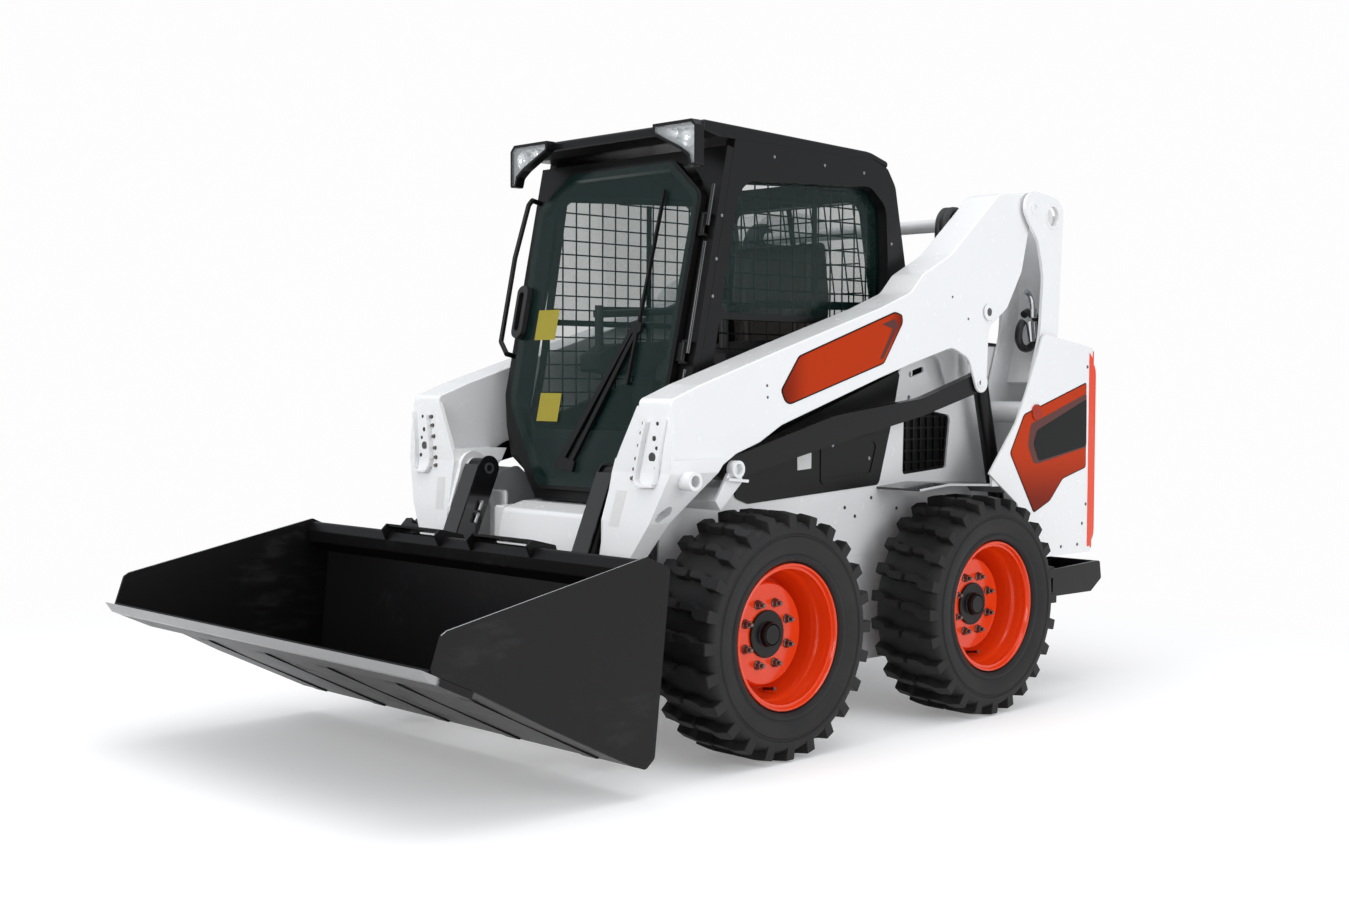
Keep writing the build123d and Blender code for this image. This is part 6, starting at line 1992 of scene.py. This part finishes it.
@dataclass
class Seat(Trim):
    """Stuffed seat cushion and back, swollen by a cloth simulation."""

    voxel: float = 0.007
    pressure: float = 4.0
    frames: int = 20
    seam_inset: float = 0.22
    seam_reach: float = 0.012
    seam_hold: float = 0.85
    fill: float = 0.7

    def pads(self) -> list[Pad]:
        """Both pads, a little smaller than the solids that they stand for."""
        cushion = ((0.396, 1.164), (0.408, 1.230), (0.452, 1.250), (0.795, 1.225), (0.828, 1.165),
                   (0.800, 1.158), (0.450, 1.158))
        back = ((0.818, 1.250), (0.797, 1.500), (0.818, 1.680), (0.865, 1.688), (0.896, 1.480),
                (0.876, 1.160), (0.850, 1.150))
        return [Pad("seat_cushion_pad", "seat_cushion", cushion, 0.226, 0.012),
                Pad("seat_back_pad", "seat_back", back, 0.216, 0.010)]

    def build(self) -> None:
        """Make both pads."""
        for pad in self.pads():
            face = [self.datum.at(-pad.half, y, z) for y, z in softened(pad.outline, 0.022, 3)]
            shape = Shape().prism(face, Vector((2 * pad.half, 0, 0)))
            obj = shape.piece(pad.name, self.palette[Look.SEAT], bevel=0.012)
            self.swell(obj, pad.swell)
            soften(obj, 80)
            attach(obj, "chassis")
            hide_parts(pad.node)
            LOG.info("%s sewn", pad.name)

    def swell(self, obj: bpy.types.Object, cap: float) -> None:
        """Fill a pad by a cloth simulation and keep the result.

        Args:
            obj: The pad.
            cap: How far a point may move.
        """
        remesh = obj.modifiers.new("grid", "REMESH")
        remesh.mode = "VOXEL"
        remesh.voxel_size = self.voxel
        keep_result(obj, remesh)
        rest = [vertex.co.copy() for vertex in obj.data.vertices]
        cloth = obj.modifiers.new("fill", "CLOTH")
        cloth.settings.use_pressure = True
        cloth.settings.uniform_pressure_force = self.pressure
        cloth.settings.effector_weights.gravity = 0.0
        cloth.settings.quality = 5
        cloth.point_cache.frame_start = 1
        cloth.point_cache.frame_end = self.frames
        scene = bpy.context.scene
        for frame in range(1, self.frames + 1):
            scene.frame_set(frame)
        evaluated = obj.evaluated_get(bpy.context.evaluated_depsgraph_get())
        swollen = [vertex.co.copy() for vertex in evaluated.data.vertices]
        obj.modifiers.remove(cloth)
        scene.frame_set(1)
        low, high = self.seams(rest)
        for vertex, start, end in zip(obj.data.vertices, rest, swollen):
            move = end - start
            if move.length > cap:
                move = move.normalized() * cap
            pull = max(self.seam(start.x, low), self.seam(start.x, high))
            vertex.co = start + move * (1.0 - self.seam_hold * pull)
        obj.data.materials.clear()
        obj.data.materials.append(self.palette[Look.SEAT])
        self.subdivide(obj)

    def seams(self, points: Sequence[Vector]) -> Point2:
        """The x of the two sewn channels, somewhat in from each side."""
        low, high = min(point.x for point in points), max(point.x for point in points)
        inset = (high - low) * self.seam_inset
        return low + inset, high - inset

    def seam(self, across: float, line: float) -> float:
        """How strongly a sewn channel holds a point: 1 on it and 0 from its reach on."""
        return max(0.0, 1.0 - abs(across - line) / self.seam_reach)

    @staticmethod
    def subdivide(obj: bpy.types.Object) -> None:
        """Subdivide a mesh once and keep the result."""
        modifier = obj.modifiers.new("round", "SUBSURF")
        modifier.levels = modifier.render_levels = 1
        keep_result(obj, modifier)


# ---------------------------------------------------------------- studio
@dataclass
class Studio:
    """Camera, lamps, world and floor."""

    eye: Point3 = (4.260, -4.1035, 1.167)
    yaw: float = 45.98
    pitch: float = -2.34
    roll: float = -0.27
    lens: float = 44.855
    floor_colour: Colour = (0.86, 0.86, 0.86)
    floor_lift: float = 0.22
    backdrop: Colour = (0.985, 0.985, 0.985)
    sky: Colour = (0.93, 0.96, 1.0)
    sky_strength: float = 0.66
    near: float = 2.2
    far: float = 4.2
    floor_reach: float = 60.0
    floor_height: float = -0.0005

    def build(self) -> None:
        """Set up the picture."""
        self.camera()
        self.world()
        self.floor()
        self.lamp("sky_panel", (0.6, -0.8, 6.2), (0.0, 0.0, 0.6), 6.0, 175.0)
        self.lamp("side_panel", (6.8, 0.9, 2.6), (0.0, 0.2, 0.8), 4.0, 124.0)
        self.lamp("front_panel_light", (0.5, -7.4, 2.8), (0.0, -0.6, 0.7), 3.5, 190.0)

    @staticmethod
    def stand(obj: bpy.types.Object, place: Point3, ahead: Vector, roll: float = 0.0) -> None:
        """Put an object at a place, facing a way.

        Args:
            obj: The camera or lamp.
            place: Where it stands.
            ahead: What it faces.
            roll: How far it is rolled, in degrees.
        """
        turn = ahead.to_track_quat("-Z", "Y").to_matrix().to_4x4()
        obj.matrix_world = Matrix.Translation(place) @ turn @ Matrix.Rotation(math.radians(-roll), 4, "Z")

    def camera(self) -> None:
        """Place the camera."""
        data = bpy.data.cameras.new("camera")
        data.sensor_width = 36.0
        data.lens = self.lens
        data.clip_end = 200.0
        camera = linked("camera", data)
        yaw, pitch = math.radians(self.yaw), math.radians(self.pitch)
        flat = math.cos(pitch)
        self.stand(camera, self.eye, Vector((-math.sin(yaw) * flat, math.cos(yaw) * flat, math.sin(pitch))),
                   self.roll)
        bpy.context.scene.camera = camera
        bpy.context.scene.view_settings.view_transform = "Standard"

    def lamp(self, name: str, place: Point3, target: Point3, size: float, power: float) -> None:
        """Add a soft panel lamp.

        Args:
            name: Its name.
            place: Where it stands.
            target: What it faces.
            size: Its side.
            power: Its power in watts.
        """
        data = bpy.data.lights.new(name, "AREA")
        data.size = size
        data.energy = power
        self.stand(linked(name, data), place, Vector(target) - Vector(place))

    def world(self) -> None:
        """White to the camera and a softer pale level to everything else."""
        world = bpy.data.worlds.new("studio")
        bpy.context.scene.world = world
        world.use_nodes = True
        tree = world.node_tree
        tree.nodes.clear()
        path = add_node(tree, "ShaderNodeLightPath").outputs
        rays = {0: path["Is Camera Ray"], 1: path["Is Transmission Ray"]}
        seen = add_node(tree, "ShaderNodeMath", {"operation": "MAXIMUM"}, rays)
        sky = {"Color": (*self.sky, 1.0), "Strength": self.sky_strength}
        soft = add_node(tree, "ShaderNodeBackground", None, sky)
        white = add_node(tree, "ShaderNodeBackground", None, {"Color": (*self.backdrop, 1.0)})
        parts = {0: seen.outputs[0], 1: soft.outputs[0], 2: white.outputs[0]}
        mix = add_node(tree, "ShaderNodeMixShader", None, parts)
        add_node(tree, "ShaderNodeOutputWorld", None, {"Surface": mix.outputs[0]})

    def floor(self) -> None:
        """Plain pale floor that keeps the object's shadow."""
        shape = Shape()
        reach = self.floor_reach
        corners = [(-reach, -reach), (reach, -reach), (reach, reach), (-reach, reach)]
        shape.bm.faces.new(shape.ring((x, y, self.floor_height) for x, y in corners))
        graph = Graph("studio_floor")
        floor = shape.piece("floor", graph.material)
        across, along, _ = graph.axes()
        distance = (across**2.0 + (along + 0.2) ** 2.0) ** 0.5
        colour = graph.blend(graph.noise(0.4, 2.0), darker(self.floor_colour, 0.995), self.floor_colour)
        base = graph.node("ShaderNodeBsdfDiffuse", None, {"Color": colour})
        glow = {"Color": (1, 1, 1, 1), "Strength": self.floor_lift}
        lift = graph.node("ShaderNodeEmission", None, glow)
        white = graph.node("ShaderNodeEmission", None, {"Color": (*self.backdrop, 1), "Strength": 1.0})
        path = graph.node("ShaderNodeLightPath").outputs
        seen = graph.maths("MAXIMUM", path["Is Camera Ray"], path["Is Transmission Ray"])
        seen = graph.maths("MAXIMUM", seen, path["Is Glossy Ray"])
        shadowed = graph.node("ShaderNodeAddShader", None, {0: base.outputs[0], 1: lift.outputs[0]})
        far = {0: graph.rise(distance, self.near, self.far), 1: shadowed.outputs[0], 2: white.outputs[0]}
        fade = graph.node("ShaderNodeMixShader", None, far)
        choice = graph.node("ShaderNodeMixShader", None, {0: seen, 1: base.outputs[0], 2: fade.outputs[0]})
        graph.node("ShaderNodeOutputMaterial", None, {"Surface": choice.outputs[0]})
        floor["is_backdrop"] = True


# ---------------------------------------------------------------- CAD nodes
LOOK_NODES: dict[Look, tuple[str, ...]] = {
    Look.WHITE: ("frame_tub", "front_panel", "side_frames", "front_brackets", "rear_bulkhead", "rear_links",
                 "lift_arms", "arm_cross_tube"),
    Look.DECK: ("rear_panels",),
    Look.PIN: ("frame_pins",),
    Look.CAB: ("side_covers", "cab_sides", "cab_rear", "cab_floor", "cab_front_frame", "door_frame",
               "engine_cover"),
    Look.ROOF: ("cab_roof",),
    Look.BLACK: ("side_grilles", "rear_bumper", "axle_tubes", "cab_screens", "grab_handle", "door_wiper",
                 "seat_bar", "control_links", "lift_barrels", "tilt_barrels", "coupler"),
    Look.IRON: ("engine_block",),
    Look.GLASS: ("cab_windows", "door_glass"),
    Look.LENS: ("headlights",),
    Look.PLASTIC: ("seat_base", "consoles", "door_handle"),
    Look.REAR_DOOR: ("rear_door",),
    Look.STEEL: ("tilt_pins",),
    Look.CHROME: ("lift_rods", "tilt_rods"),
    Look.TOOL: ("bucket",),
    Look.EDGE: ("cutting_edge",),
}
NODE_LOOKS = {name: look for look, names in LOOK_NODES.items() for name in names}


def dress_nodes(frame: dict[str, Any], palette: Palette) -> None:
    """Give every carried-over CAD node its finish.

    Args:
        palette: The finishes.
    """
    for name, obj in frame["nodes"].items():
        material = palette[NODE_LOOKS.get(name, Look.PLASTIC)]
        if not obj.material_slots:
            obj.data.materials.append(material)
        for slot in obj.material_slots:
            slot.material = material
    LOG.info("%d nodes dressed", len(frame["nodes"]))


def main() -> None:
    """Build the looks in order."""
    logging.basicConfig(level=logging.INFO, format="%(message)s")
    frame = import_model()
    cad_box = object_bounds()
    datum = Datum.from_frame()
    palette = Palette(cad_box[0].y)
    Studio().build()
    dress_nodes(frame, palette)
    arm_skin = Surface(frame["nodes"]["lift_arms"])
    trims: list[Trim] = [
        Wheels(palette, datum),
        Badges(palette, datum),
        Screens(palette, datum),
        CabTrim(palette, datum),
        ArmTrim(palette, datum, arm_skin),
        FrameTrim(palette, datum, frame["nodes"]),
        Hydraulics(palette, datum),
        BucketTrim(palette, datum),
        Seat(palette, datum),
    ]
    for trim in trims:
        trim.build()


if __name__ == "__main__":
    main()
